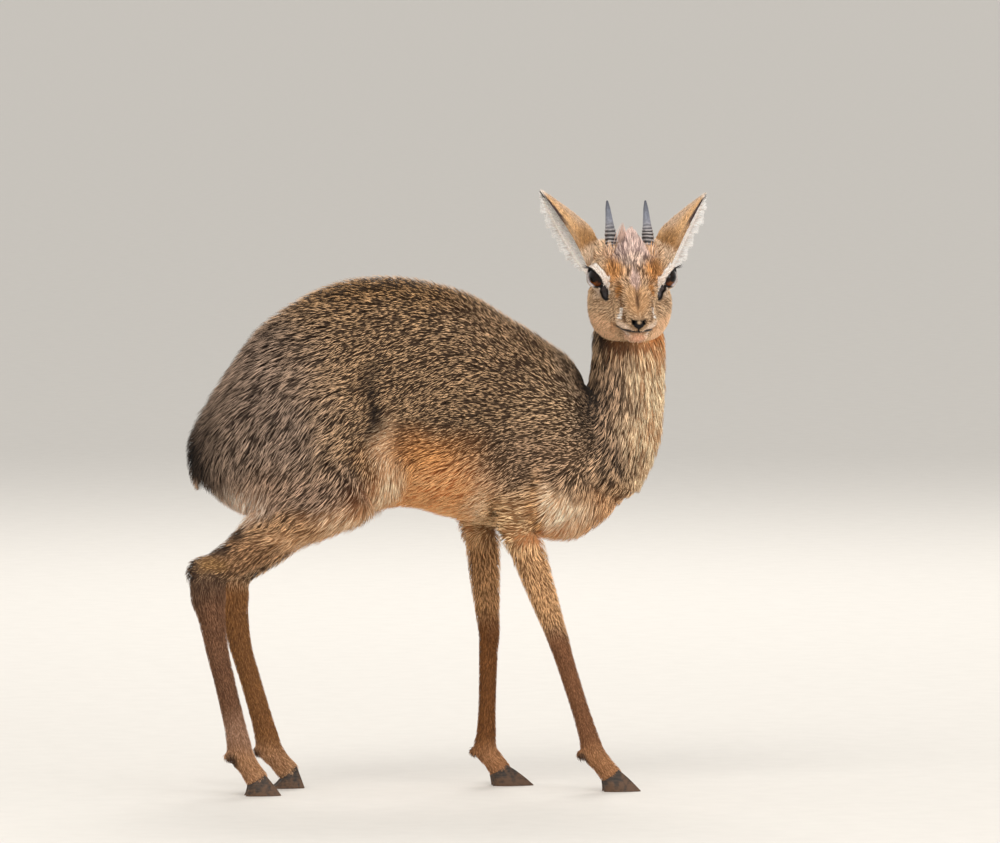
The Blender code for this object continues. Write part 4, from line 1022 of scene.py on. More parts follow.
def hoof_material():
    """Dark horn with growth lines level with the coronet, dusted and muddied towards the sole."""
    finish = Finish("hoof", 0.6, 0.3)
    place = finish.attribute("place")
    grain = finish.noise(260, 5)
    lines = finish.noise(60, 2, (1, 1, 14))
    horn = finish.ramp(lines, [(0.35, linear(36, 30, 26)), (0.65, linear(64, 53, 45))])
    dust = finish.ramp(finish.maths("ADD", grain, finish.maths("MULTIPLY", place, 0.28)), [(0.50, 0.0), (0.72, 1.0)])
    finish.bump(finish.maths("ADD", grain, finish.maths("MULTIPLY", lines, 0.5)), 0.0009, 0.9)
    return finish.colour(finish.mix(dust, horn, linear(88, 65, 48)))


def coronet(joints):
    fetlock, hoof = np.asarray(joints[-2], float), np.asarray(joints[-1], float)
    direction = unit(hoof - fetlock)
    return hoof + direction * 1.5, direction


CLAW_SPREAD, CLAW_HALF_WIDTH, CLAW_NARROWING = 5.5, 4.9, 0.28


def build_claw(name, joints, heel, toe, middle, sign, material):
    """A claw: egg-shaped rings from the coronet's slope down to the flat sole, with a rounded lower edge."""
    start, direction = coronet(joints)
    ahead = np.array([-direction[2], 0, direction[0]])
    angle = np.linspace(0, 2 * np.pi, 40, endpoint=False)
    across = np.sin(angle) * (1 - CLAW_NARROWING * np.cos(angle))
    sole = np.array([(heel + toe) / 2, 0, 0])
    rings, places = [], []
    for t in np.concatenate([np.linspace(-0.10, 0.94, 16), [0.975, 1.0, 1.0]]):
        inset = 1 - 0.05 * (t >= 1.0) - 0.6 * (len(rings) == 18)
        length = ((1 - t) * 9.2 + t * (toe - heel) / 2 - 0.15) * inset
        run = (1 - t) * ahead + t * np.array([1.0, 0, 0])
        centre = (1 - t) * np.array([start[0], 0, start[2]]) + t * sole
        width = CLAW_HALF_WIDTH * (0.93 + 0.28 * t * (1 - t)) * inset - 0.1
        ring = centre + length * np.cos(angle)[:, None] * run + width * across[:, None] * np.array([0, 1.0, 0])
        ring[:, 1] += middle + sign * CLAW_SPREAD
        rings.append(ring)
        places.append(t)
    points, faces = tube(np.array(rings))
    points[:, 2] = np.maximum(points[:, 2], 0.0)
    data = mesh_of(f"{name}_hoof", points, faces)
    outward(data)
    set_number(data, "place", np.append(np.repeat(places, len(angle)), [0, 1]))
    return new_object(f"{name}_hoof", data, material, [name])


def build_hooves():
    material = hoof_material()
    for place, (heel, toe, middle) in HOOVES.items():
        side, word = place.split("_")
        joints = (FORE_JOINTS if word == "fore" else HIND_JOINTS)[side]
        for claw, sign in (("inner", -np.sign(middle)), ("outer", np.sign(middle))):
            build_claw(f"{place}_{claw}_claw", joints, heel, toe, middle, sign, material)


# The coat.

def coat_material(name, base, band, tip, roughness, fleck):
    """A tuft's colour along its length: a dark base, a pale band and a dark tip, shifted from tuft to tuft.

    The share of tufts given by fleck is dark from end to end.
    """
    finish = Finish(name, roughness, 0.2)
    place, chance = finish.attribute("along"), finish.attribute("chance")
    dark, light = finish.attribute("dark", "Color"), finish.attribute("light", "Color")
    shifted = finish.maths("ADD", place, finish.maths("MULTIPLY", finish.maths("SUBTRACT", chance, 0.5), 0.22))
    share = finish.ramp(shifted, [(0.0, base), (band[0], base), (band[1], 1.0), (band[2], 1.0), (1.0, tip)])
    other = finish.maths("FRACT", finish.maths("MULTIPLY", chance, 7.31))
    kept = finish.ramp(other, [(fleck - 0.02, 0.10), (fleck + 0.02, 1.0)])
    colour = finish.mix(finish.maths("MULTIPLY", share, kept), dark, light)
    third = finish.maths("FRACT", finish.maths("MULTIPLY", chance, 23.7))
    shade = finish.ramp(third, [(0.0, 0.76), (1.0, 1.2)])
    grain = finish.ramp(finish.noise(1500, 2), [(0.3, 0.9), (0.7, 1.08)])
    return finish.colour(finish.mix(1.0, colour, finish.mix(1.0, shade, grain, "MULTIPLY"), "MULTIPLY"))


def lattice_pull(points, cell, seed):
    """The nearest of a set of points scattered one to each cell of a grid, as an offset, and its own number.

    Each grid cell's point is its corner plus a fixed scramble of the cell's three indices.
    """
    home = np.floor(points / cell).astype(np.int64)
    best = np.full(len(points), 1e9)
    offset, number = np.zeros_like(points), np.zeros(len(points))
    for step in np.ndindex(3, 3, 3):
        index = home + np.array(step) - 1
        mixed = (index * np.array([73856093, 19349663, 83492791])).sum(axis=1) + seed * 7919
        jitter = np.stack([((mixed * k) % 10007) / 10007 for k in (31, 57, 97)], axis=1)
        apart = (index + jitter) * cell - points
        reach = (apart ** 2).sum(axis=1)
        closer = reach < best
        best[closer] = reach[closer]
        offset[closer] = apart[closer]
        number[closer] = ((mixed * 131) % 9973)[closer] / 9973
    return offset, number


def strand_pull(points, direction, cell, seed):
    """A sideways offset to the nearest strand: lattice_pull with the grid drawn out along the direction."""
    direction = unit(np.asarray(direction, float))
    beside = unit(np.cross(direction, (0, 1.0, 0)))
    third = np.cross(beside, direction)
    local = np.stack([points @ beside, points @ third, 0.35 * (points @ direction)], axis=1)
    offset, number = lattice_pull(local, cell, seed)
    return offset[:, :1] * beside + offset[:, 1:2] * third, number


def tangent_part(vectors, normals):
    return vectors - normals * (vectors * normals).sum(axis=1)[:, None]


def tuft_points(hair, rings):
    """Corners of three-sided blades: each blade's middle line leaves the root along the normal and bends to the lie.

    At share t along it the line is root + normal * rise * (1 - (1 - t)^1.8) + lie * run * t, plus a
    sideways pull towards the lock's middle that grows with t squared.
    """
    count = len(hair["root"])
    t = np.linspace(0, 1, rings + 1)
    lift = (1 - (1 - t) ** hair.get("bend", 1.8))[None, :, None]
    spine = hair["root"][:, None, :] + hair["normal"][:, None, :] * hair["rise"][:, None, None] * lift
    spine = spine + hair["lie"][:, None, :] * hair["run"][:, None, None] * t[None, :, None]
    spine = spine + hair["pull"][:, None, :] * (t ** 1.6)[None, :, None]
    run = unit(np.gradient(spine, axis=1))
    side = unit(np.cross(run, hair["normal"][:, None, :]))
    top = np.cross(side, run)
    taper = np.array([0.8, 1.0, 0.8, 0.45] if rings == 4 else [0.85, 1.0, 0.6] if rings == 3 else [0.9, 0.75])
    width = hair["width"][:, None, None] * taper[None, :, None] * 0.5
    corners = [side * 1.0 - 0.2 * top, 0.75 * top, -side * 1.0 - 0.2 * top]
    body = np.stack([spine[:, :-1] + width * corner[:, :-1] for corner in corners], axis=2)
    points = np.concatenate([body.reshape(count, -1, 3), spine[:, -1:]], axis=1)
    facing = np.stack([corner[:, :-1] + np.zeros_like(side[:, :-1]) for corner in corners], axis=2)
    facing = np.concatenate([facing.reshape(count, -1, 3), run[:, -1:]], axis=1)
    normals = unit(0.62 * hair["normal"][:, None, :] + 0.38 * unit(facing))
    return points, normals


def tuft_faces(rings):
    """Triangles of one blade: a base, the sides between rings of three corners, and the tip."""
    faces = [(0, 1, 2)]
    for row in range(rings - 1):
        for k in range(3):
            a, b = 3 * row + k, 3 * row + (k + 1) % 3
            faces += [(b, a, a + 3), (b, a + 3, b + 3)]
    last = 3 * (rings - 1)
    faces += [(last + (k + 1) % 3, last + k, last + 3) for k in range(3)]
    return np.array(faces)


BAKE_PATCH = 0.003


def coat_piece(name, hair, rings, material):
    """One mesh of many tufts, with its tones, and a bake map where each tuft is a small patch at its root."""
    points, normals = tuft_points(hair, rings)
    count, each = points.shape[:2]
    pattern = tuft_faces(rings)
    faces = (pattern[None] + each * np.arange(count)[:, None, None]).reshape(-1, 3)
    data = mesh_of(name, points.reshape(-1, 3), faces)
    share = np.append(np.repeat(np.linspace(0, 1, rings + 1)[:-1], 3), 1.0)
    squeeze = hair.get("squeeze", np.ones(count))
    set_number(data, "along", 1 - (1 - share)[None, :] * squeeze[:, None])
    set_number(data, "chance", np.repeat(hair["chance"], each))
    set_colour(data, "dark", np.repeat(hair["dark"], each, axis=0))
    set_colour(data, "light", np.repeat(hair["light"], each, axis=0))
    beside = np.append(np.tile([0.0, 0.5, 1.0], rings), 0.5)
    local = BAKE_PATCH * (np.stack([share, beside], axis=1) - 0.5)
    corner_uv = (hair["uv"][:, None, :] + local[None])[:, pattern.reshape(-1)]
    layer = data.uv_layers.new(name="OFBake")
    layer.data.foreach_set("uv", np.clip(corner_uv, 0, 1).astype(np.float32).ravel())
    data.shade_smooth()
    data.normals_split_custom_set_from_vertices(normals.reshape(-1, 3).tolist())
    return new_object(name, data, material)


def roots_on(data, spacing_of):
    """Roots scattered over a mesh, about one to each spacing squared, with the surface's normal at each."""
    data.calc_loop_triangles()
    corners = np.empty(len(data.loop_triangles) * 3, np.int32)
    data.loop_triangles.foreach_get("vertices", corners)
    corners = corners.reshape(-1, 3)
    points = np.empty(len(data.vertices) * 3, np.float32)
    data.vertices.foreach_get("co", points)
    points = points.reshape(-1, 3) / MM + ORIGIN
    normals = np.empty(len(data.vertices) * 3, np.float32)
    data.vertices.foreach_get("normal", normals)
    normals = normals.reshape(-1, 3)
    a, b, c = points[corners[:, 0]], points[corners[:, 1]], points[corners[:, 2]]
    area = 0.5 * np.linalg.norm(np.cross(b - a, c - a), axis=1)
    wanted = area / spacing_of((a + b + c) / 3) ** 2
    number = np.floor(wanted + DICE.random(len(wanted))).astype(int)
    chosen = np.repeat(np.arange(len(corners)), number)
    u, v = DICE.random(len(chosen)), DICE.random(len(chosen))
    over = u + v > 1
    u[over], v[over] = 1 - u[over], 1 - v[over]
    weights = np.stack([1 - u - v, u, v], axis=1)[..., None]
    root = (points[corners[chosen]] * weights).sum(axis=1)
    return root, unit((normals[corners[chosen]] * weights).sum(axis=1))


LIMBS = [form for form in SKIN_FORMS if "line" in form]
COMBING = [  # x, z, then the heading of the hair there in degrees: 90 is up, 180 towards the tail, 270 down
    (-185, 279, 262), (-190, 323, 240), (-172, 358, 228), (-154, 393, 220), (-119, 419, 203), (-75, 432, 193),
    (-22, 428, 196), (22, 419, 185), (66, 384, 165), (101, 367, 153), (128, 341, 174), (-154, 306, 240),
    (-119, 341, 231), (-84, 367, 206), (-40, 384, 207), (4, 367, 208), (49, 341, 182), (93, 323, 185),
    (119, 306, 183), (-172, 262, 256), (-146, 271, 247), (-110, 297, 230), (-75, 314, 216), (-49, 341, 209),
    (-110, 253, 210), (-75, 262, 222), (-49, 271, 254), (-31, 279, 271), (-66, 236, 228), (-101, 227, 200),
    (-40, 240, 260), (-18, 314, 195), (4, 306, 191), (40, 297, 206), (66, 279, 212), (-4, 268, 193),
    (22, 253, 205), (66, 238, 172), (84, 253, 182), (101, 271, 195), (119, 253, 232), (137, 244, 252),
    (154, 253, 258), (141, 279, 235), (-172, 218, 208), (-137, 214, 194)]


def combed(points):
    """The lie on the body's sides: the table's headings, weighted by one over distance to the fourth power."""
    rows = np.array(COMBING)
    heading = np.radians(rows[:, 2])
    apart = ((points[:, None, [0, 2]] - rows[None, :, :2]) ** 2).sum(axis=2) + 60
    weight = apart ** -2
    lie = weight @ np.stack([np.cos(heading), 0 * heading, np.sin(heading)], axis=1)
    return unit(lie)


def coat_lie(points, normals):
    """The way the coat lies, the limb each root belongs to, and its place along and round that limb.

    It is each limb's own direction, weighted by how near the limb's surface is, then turned to the
    combing on the body and away from the nose and the eyes on the head.
    """
    total, best = np.zeros((len(points), 3)), np.full(len(points), 1e9)
    owner, place, angle = np.zeros(len(points), int), np.zeros(len(points)), np.zeros(len(points))
    for number, form in enumerate(LIMBS):
        distance, direction, share, turn = limb_measure(points, form)
        flat = tangent_part(direction * form["lie"], normals)
        total += flat * np.exp(-np.maximum(distance, -2) / 4.0)[:, None]
        closer = distance < best
        best[closer] = distance[closer]
        owner[closer], place[closer], angle[closer] = number, share[closer], turn[closer]
    lie = unit(total)
    body = np.isin(owner, [0, 1, 4, 8]) * smoothstep(200, 225, points[:, 2])
    body = np.maximum(body, np.isin(owner, [3, 6]) * smoothstep(208, 236, points[:, 2]))[:, None]
    lie = unit(lie * (1 - body) + tangent_part(combed(points), normals) * body)
    head = head_share(points)[:, None]
    q = head_coords(points)
    side = np.sign(q[:, 1])
    q[:, 1] = np.abs(q[:, 1])
    back = np.stack([-np.ones(len(q)), 0.25 + 0 * q[:, 0], -0.15 - 0.012 * np.clip(q[:, 0], 0, 50)], axis=1)
    by_mouth = smoothstep(6, 2.5, np.abs(mouth_height(q))) * smoothstep(20, 27, q[:, 0])
    back[:, 2] = back[:, 2] * (1 - by_mouth) - MOUTH_FALL * by_mouth
    cheek = (0.9 * smoothstep(2, -8, q[:, 2]) * smoothstep(46, 34, q[:, 0]) * (1 - by_mouth))[:, None]
    back = back * (1 - cheek) + np.array([-0.45, 0.35, -0.95]) * cheek
    upper = smoothstep(2, 12, q[:, 2])[:, None]
    outer = smoothstep(10, 27, q[:, 1])[:, None]
    back = back * (1 - upper) + (np.array([-0.9, 0.1, 0.35]) + np.array([0.2, 0.7, 0.1]) * outer) * upper
    around = q - np.array(EYE_CENTRE)
    around_eye = smoothstep(22, 12, np.linalg.norm(around, axis=1))[:, None]
    back = unit(back * (1 - 0.55 * around_eye) + unit(around) * 0.55 * around_eye)
    back[:, 1] *= side
    head = head * (1 - 0.8 * (owner == 12)[:, None])
    lie = unit(lie * (1 - head) + (back @ HEAD_AXES) * head)
    return unit(tangent_part(lie, normals)), owner, place, angle


def coat_spacing(points):
    """How far apart the roots are: close on the head and legs, wider on the body, widest where little shows."""
    head = head_share(points)
    spacing = 1.62 * (1 - head) + 1.12 * head
    legs = smoothstep(215, 175, points[:, 2])
    spacing = spacing * (1 - legs) + 1.3 * legs
    inner = (points[:, 2] < 245) & (np.abs(points[:, 1]) < 26) & (points[:, 2] > 60)
    spacing = np.where(inner & (head < 0.5), np.maximum(spacing, 2.0), spacing)
    return spacing * 1.0


SHOULDER_COAT_Z = 222  # above this height the upper arm wears the body's coat


def build_coat(skin_mesh):
    """All tufts rooted in the skin, made into one piece for each part of the body."""
    root, normal = roots_on(skin_mesh, coat_spacing)
    marks = markings(root)
    depth = -joined(root, OUTLINE)
    head = head_share(root)
    keep = (marks["bare"] < 0.25) & (marks["clear"] > 0) & (depth > 0.15) & (root[:, 2] > 12)
    root, normal, dark, light, clear, depth, head = (
        part[keep] for part in (root, normal, marks["dark"], marks["light"], marks["clear"], depth, head))
    lie, owner, place, angle = coat_lie(root, normal)
    count = len(root)
    chance = DICE.random(count)
    depth = np.clip(depth, 0.3, 14)
    q = head_coords(root)
    neck, on_head = owner == 7, head > 0.5
    rump = patch(root, (-150, 0, 310), (90, ANY, 105), 0.4)
    rump = np.maximum(rump, patch(root, (-70, 0, 240), (60, ANY, 40), 0.4))
    temple = patch(np.abs(q), (32, 24, 12), (14, 13, 13), 0.4) * on_head * (q[:, 0] < 0)
    brow = np.maximum(patch(q, (-6, 0, 18), (26, 30, 17), 0.3) * on_head, 0.8 * temple)
    chest = patch(root, (142, 0, 248), (42, ANY, 42), 0.4) * (~on_head)
    arm = patch(root, (84, 0, 240), (34, ANY, 44), 0.4) * (1 - chest) * np.isin(owner, [0, 3, 6])
    plain = (owner == 0) * (1 - rump) * (1 - chest)
    muzzle = smoothstep(34, 48, q[:, 0])
    length = (1.7 - 0.35 * plain + 0.3 * neck) * depth + 2.0 + 2.0 * neck
    length *= 1 - 0.3 * patch(root, (184, 0, 262), (24, ANY, 26), 0.5)
    short = np.clip(length, 2.6, 8) * (1 - 0.3 * muzzle + 0.2 * brow + 0.3 * temple)
    short = np.minimum(short, 1.3 + 0.85 * clear)
    length = np.where(on_head, short, length) * DICE.uniform(0.8, 1.12, count)
    rise = np.minimum(depth * DICE.uniform(0.62, 0.98, count), 0.72 * length)
    rise *= 1 - 0.35 * patch(root, (140, 0, 372), (34, ANY, 34), 0.5) * (~on_head) - 0.35 * (owner == 12)
    run = np.sqrt(np.maximum(length ** 2 - rise ** 2, 1.0))
    swing = 0.16 * mottle(root, 26, 5) * (1 - 0.7 * neck) + 0.11 * DICE.normal(size=count)
    lie = unit(lie + np.cross(normal, lie) * swing[:, None])
    middle = root + lie * run[:, None] * 0.5
    pull, lock = np.zeros((count, 3)), np.full(count, 0.5)
    strands = [(~on_head & ~neck, (-0.92, 0, -0.35), 4.2, 0.15 + 0.1 * plain), (rump > 0.4, (-0.5, 0, -0.86), 3.4, 0.5 * rump),
               (neck, (0, 0, -1), 3.6, 0.55 + 0 * rump), (chest > 0.4, (0.15, 0, -1), 3.6, 0.5 * chest),
               (arm > 0.4, (-1, 0, 0.1), 3.4, 0.55 * arm), (brow > 0.3, unit([-0.9, 0, 0.35] @ HEAD_AXES), 3.0, 0.6 * brow)]
    gap = np.zeros(count)
    for seed, (where, direction, cell, gather) in enumerate(strands):
        offset, number = strand_pull(middle[where], direction, cell, seed)
        pull[where] = tangent_part(offset, normal[where]) * gather[where, None]
        lock[where] = number
        gap[where] = smoothstep(0.34, 0.6, np.linalg.norm(offset, axis=1) / cell) * gather[where]
    uneven = np.maximum.reduce([rump, 0.8 * neck, brow, 0.8 * chest, 0.8 * arm])
    pull += lie * (run * 0.35 * (lock - 0.5) * uneven)[:, None]
    rise = rise * (1 + 0.25 * (lock - 0.5) * uneven)
    spare = 0.4 + 2.0 * chance ** 2
    for _ in range(2):
        tip = root + normal * rise[:, None] + lie * run[:, None] + pull
        beyond = np.maximum(joined(tip, OUTLINE) - spare, 0)
        kept = np.clip(1 - 1.3 * beyond / length, 0.4, 1)
        rise, run, pull = rise * kept, run * kept, pull * kept[:, None]
    width = (0.32 + 0.036 * length) * (1 - 0.12 * plain - 0.2 * rump)
    # tufts in the gaps between locks get darker pale bands: painted shade between the locks; the lock number varies
    # the tone at random
    light = light * (1 + 0.3 * (lock - 0.5) * (0.4 + uneven - 0.5 * rump) - (0.6 + 0.25 * neck) * gap)[:, None]
    low = patch(root, (12, 0, 252), (66, ANY, 52), 0.3)
    squeeze = 1 + 0.5 * plain * (1 - low) * (1 - 0.8 * patch(root, (108, 0, 316), (38, ANY, 42), 0.5)) - 0.3 * np.maximum(neck, chest) - 0.15 * rump - 0.35 * low
    again = (plain > 0.5) & ((chance * 7.31) % 1 < 0.34) & (DICE.random(count) < 0.5)
    chance = np.where(again, DICE.random(count), chance)
    together = DICE.random(count) < 0.22 * rump + 0.5 * neck + 0.65 * brow + 0.4 * chest + 0.4 * arm
    chance = np.where(together, lock, chance)
    pale = on_head & (light.mean(axis=1) > 0.62)
    chance = np.where(pale, (np.floor(7.31 * chance) + DICE.uniform(0.36, 0.9, count)) / 7.31, chance)
    groups = {
        "trunk": ([0, 8], 2, "body_coat"), "thighs": ([1, 4], 2, "body_coat"), "neck": ([7], 3, "neck_coat"),
        "face": ([9, 10, 11, 12], 2, "face_coat"), "shanks": ([2, 5], 2, "leg_coat"),
        "forelegs": ([3, 6], 2, "leg_coat"), "shoulders": ([3, 6], 2, "body_coat")}
    high = root[:, 2] > SHOULDER_COAT_Z
    body = coat_material("coat_body", 0.0, (0.50, 0.66, 0.84), 0.10, 0.62, 0.34)
    soft = coat_material("coat_face", 0.25, (0.25, 0.5, 0.88), 0.45, 0.66, 0.26)
    materials = {"body_coat": body, "neck_coat": body, "face_coat": soft,
                 "leg_coat": coat_material("coat_legs", 0.2, (0.3, 0.5, 0.85), 0.3, 0.66, 0.2)}
    for group, (numbers, rings, slot_name) in groups.items():
        member = np.flatnonzero(np.isin(owner, numbers) & ((numbers != [3, 6]) | (high == (group == "shoulders"))))
        each = 1 + 6 * (rings - 1) + 3
        pieces = int(np.ceil(len(member) * each / 190000))
        order = member[np.argsort(root[member, 0] + 1000 * (root[member, 1] > 0) * (pieces > 1), kind="stable")]
        for part, chosen in enumerate(np.array_split(order, pieces)):
            strip = np.searchsorted(numbers, owner[chosen])
            along_limb = place[chosen]
            span = along_limb.max() - along_limb.min() + 1e-6
            u = 0.004 + 0.992 * (along_limb - along_limb.min()) / span
            v = (strip + 0.004 + 0.992 * (angle[chosen] / (2 * np.pi) + 0.5)) / len(numbers)
            hair = dict(root=root[chosen], normal=normal[chosen], lie=lie[chosen], rise=rise[chosen],
                        run=run[chosen], pull=pull[chosen], width=width[chosen], dark=dark[chosen],
                        light=light[chosen], chance=chance[chosen], squeeze=squeeze[chosen],
                        uv=np.stack([u, v], axis=1))
            label = f"coat_{group}" + (f"_{part + 1}" if pieces > 1 else "")
            coat_piece(label, hair, rings, materials[slot_name])


def build_ear_hair():
    """Short hair on the ears' backs, long pale hair inside both rims, and a fringe over the rear rim."""
    material = coat_material("coat_ears", 0.4, (0.2, 0.45, 0.9), 0.6, 0.66, 0.12)
    thin = 1.0
    for row, name in enumerate(("right", "left")):
        rows = []
        _, _, _, mouth, rim = ear_frame(name)
        out, front = mouth @ HEAD_AXES, rim @ HEAD_AXES
        for kind, number in (("back", 5200), ("inside", 2600), ("fringe", 1300)):
            number = int(number * thin)
            place = DICE.uniform(-0.12, 0.99, number)
            if kind == "back":
                angle = DICE.uniform(-np.pi / 2, np.pi / 2, number)
            elif kind == "inside":
                angle = np.where(DICE.random(number) < 0.7, -1, 1) * DICE.uniform(0.35, 1.35, number)
            else:
                angle = -DICE.uniform(1.5, 1.56, number)
                place = DICE.uniform(-0.12, 0.97, number)
            inset = EAR_INSET + (EAR_WALL if kind == "inside" else 0)
            root = ear_surface(name, place, angle, inset)
            ahead = ear_surface(name, np.minimum(place + 0.01, 1.01), angle, inset) - root
            beside = ear_surface(name, place, angle + 0.02, inset) - root
            normal = unit(np.cross(ahead, beside))
            away = -np.cos(angle)[:, None] * out + np.sin(angle)[:, None] * front
            normal *= np.sign((normal * away).sum(axis=1))[:, None]
            lie = unit(ahead)
            length = DICE.uniform(2.8, 4.2, number)
            rise = DICE.uniform(0.4, 0.9, number)
            if kind == "inside":
                normal = -normal
                lie = unit(lie * 0.8 + out * 0.7 + 0.15 * DICE.normal(size=(number, 3)))
                length = DICE.uniform(3.4, 6.4, number) * (1 - 0.5 * place)
                rise = DICE.uniform(0.6, 1.6, number)
            if kind == "fringe":
                cell = np.floor(place / 0.066 + 0.12 * DICE.normal(size=number))
                clump = (cell * 0.618 + 0.37 * row) % 1
                goal = ear_surface(name, np.clip((cell + 0.5) * 0.066, -0.12, 0.99), angle, inset)
                normal = np.tile(unit(front + 0.5 * out), (number, 1))
                lie = unit(lie * (0.15 + 0.6 * place)[:, None] + out * 1.0 + 0.14 * DICE.normal(size=(number, 3)))
                length = 1.4 + (4.6 + 3.6 * clump) * smoothstep(-0.2, 0.1, place) * smoothstep(1.04, 0.7, place)
                rise = DICE.uniform(0.0, 0.4, number)
            lie = unit(lie + 0.12 * DICE.normal(size=(number, 3)))
            pull = 0.92 * (goal - root) if kind == "fringe" else np.zeros((number, 3))
            dark, light = ear_tones(place, angle, np.full(number, 0.0 if kind == "back" else 1.0))
            share = np.clip((place + 0.12) / 1.12, 0, 1)
            uv = np.stack([0.01 + 0.98 * share, (row + 0.02 + 0.96 * (angle / np.pi + 0.5)) / 2], axis=1)
            rows.append(dict(root=root, normal=normal, lie=lie, rise=rise, run=length, dark=dark, light=light,
                             pull=pull, width=np.full(number, 0.5 if kind == "fringe" else 0.42), uv=uv,
                             chance=DICE.random(number)))
        hair = {key: np.concatenate([part[key] for part in rows]) for key in rows[0]}
        coat_piece(f"coat_{name}_ear", hair, 2, material)


def build_horn_collars():
    """Longer hair round each horn's foot: roots on rings of the horn, lying along it and a little outwards."""
    material = coat_material("coat_collars", 0.3, (0.2, 0.5, 0.9), 0.6, 0.66, 0.15)
    rows = []
    for row, name in enumerate(("right", "left")):
        number = 420
        root_end, tip_end = np.array(HORN_ROOTS[name], float), np.array(HORN_TIPS[name], float)
        axis = unit(tip_end - root_end)
        across = unit(np.cross(axis, (0, 1.0, 0)))
        other = np.cross(axis, across)
        turn, place = DICE.uniform(0, 2 * np.pi, number), DICE.uniform(0.04, 0.22, number)
        out = np.cos(turn)[:, None] * across + np.sin(turn)[:, None] * other
        root = root_end + (tip_end - root_end) * place[:, None] + 5.9 * out
        lie = unit(axis + 0.10 * out + 0.10 * DICE.normal(size=(number, 3)))
        tone = DICE.random(number)[:, None]
        light = linear(214, 152, 96) * tone + linear(248, 214, 186) * (1 - tone)
        rows.append(dict(root=EYE_MIDDLE + root @ HEAD_AXES, normal=out @ HEAD_AXES, lie=lie @ HEAD_AXES,
                         rise=DICE.uniform(0.3, 1.6, number), run=DICE.uniform(4.5, 9.5, number),
                         pull=np.zeros((number, 3)), dark=0.35 * light, light=light, width=np.full(number, 0.55),
                         chance=DICE.random(number), uv=np.stack([(row + 0.02 + 0.96 * turn / (2 * np.pi)) / 2, place * 4],
                                                                 axis=1)))
    wisps = [((-21, -8.5, 28), (-0.30, 0.05, 0.95), 2.4, 18, (226, 190, 174), 70),  # foot, way, spread, length, tone
             ((-18, 13, 20), (-0.35, -0.55, 0.75), 0.8, 17, (214, 150, 96), 30)]
    for foot, way, spread, reach, tone, number in wisps:
        scatter = spread * DICE.normal(size=(number, 3)) * np.array([0.5, 1.0, 0.4])
        way = unit(np.array(way))
        light = np.tile(linear(*tone), (number, 1))
        rows.append(dict(root=EYE_MIDDLE + (np.array(foot, float) + scatter) @ HEAD_AXES,
                         normal=np.tile(HEAD_AXES[0], (number, 1)), lie=np.tile(way @ HEAD_AXES, (number, 1)),
                         rise=DICE.uniform(0.2, 0.8, number), run=reach * DICE.uniform(0.6, 1.0, number),
                         pull=-0.9 * scatter @ HEAD_AXES, dark=0.5 * light, light=light, width=np.full(number, 0.5),
                         chance=DICE.random(number), uv=DICE.uniform(0.01, 0.99, (number, 2))))
    hair = {key: np.concatenate([part[key] for part in rows]) for key in rows[0]}
    coat_piece("coat_horn_collars", hair, 3, material)


def build_lips():
    """The dark seam between the lips: a thin rod in the skin's fold, thinner towards the cheeks.

    Its path is where rays from the muzzle's middle, on the line between the lips, reach LIP_OUT from the skin.
    """
    count, around = 81, 8
    turn = np.linspace(-LIP_TURN, LIP_TURN, count)

    def on_line(reach):
        q = np.zeros((count, 3))
        q[:, 0] = LIP_HUB + np.cos(turn) * reach
        q[:, 1] = np.sin(turn) * reach
        q[:, 2] = -mouth_height(q)
        return q

    near, far = np.zeros(count), np.full(count, 30.0)
    for _ in range(14):
        middle = (near + far) / 2
        inside = skin(EYE_MIDDLE + on_line(middle) @ HEAD_AXES) < LIP_OUT
        near, far = np.where(inside, middle, near), np.where(inside, far, middle)
    path = on_line(near)
    forward = unit(np.gradient(path, axis=0))
    outside = unit(np.cross(forward, (0.0, 0.0, 1.0)))
    upward = np.cross(outside, forward)
    spin = np.linspace(0, 2 * np.pi, around, endpoint=False)[None, :, None]
    radius = 0.15 + 0.5 * (1 - (turn / LIP_TURN) ** 4)[:, None, None]
    rings = path[:, None] + radius * (np.cos(spin) * outside[:, None] + np.sin(spin) * upward[:, None])
    points, faces = tube(rings)
    finish = Finish("lips", 0.4, 0.4)
    grain = finish.noise(700, 2)
    material = finish.colour(finish.ramp(grain, [(0.3, linear(26, 21, 20)), (0.7, linear(52, 43, 41))]))
    data = mesh_of("lips", EYE_MIDDLE + points @ HEAD_AXES, faces)
    outward(data)
    new_object("lips", data, material)


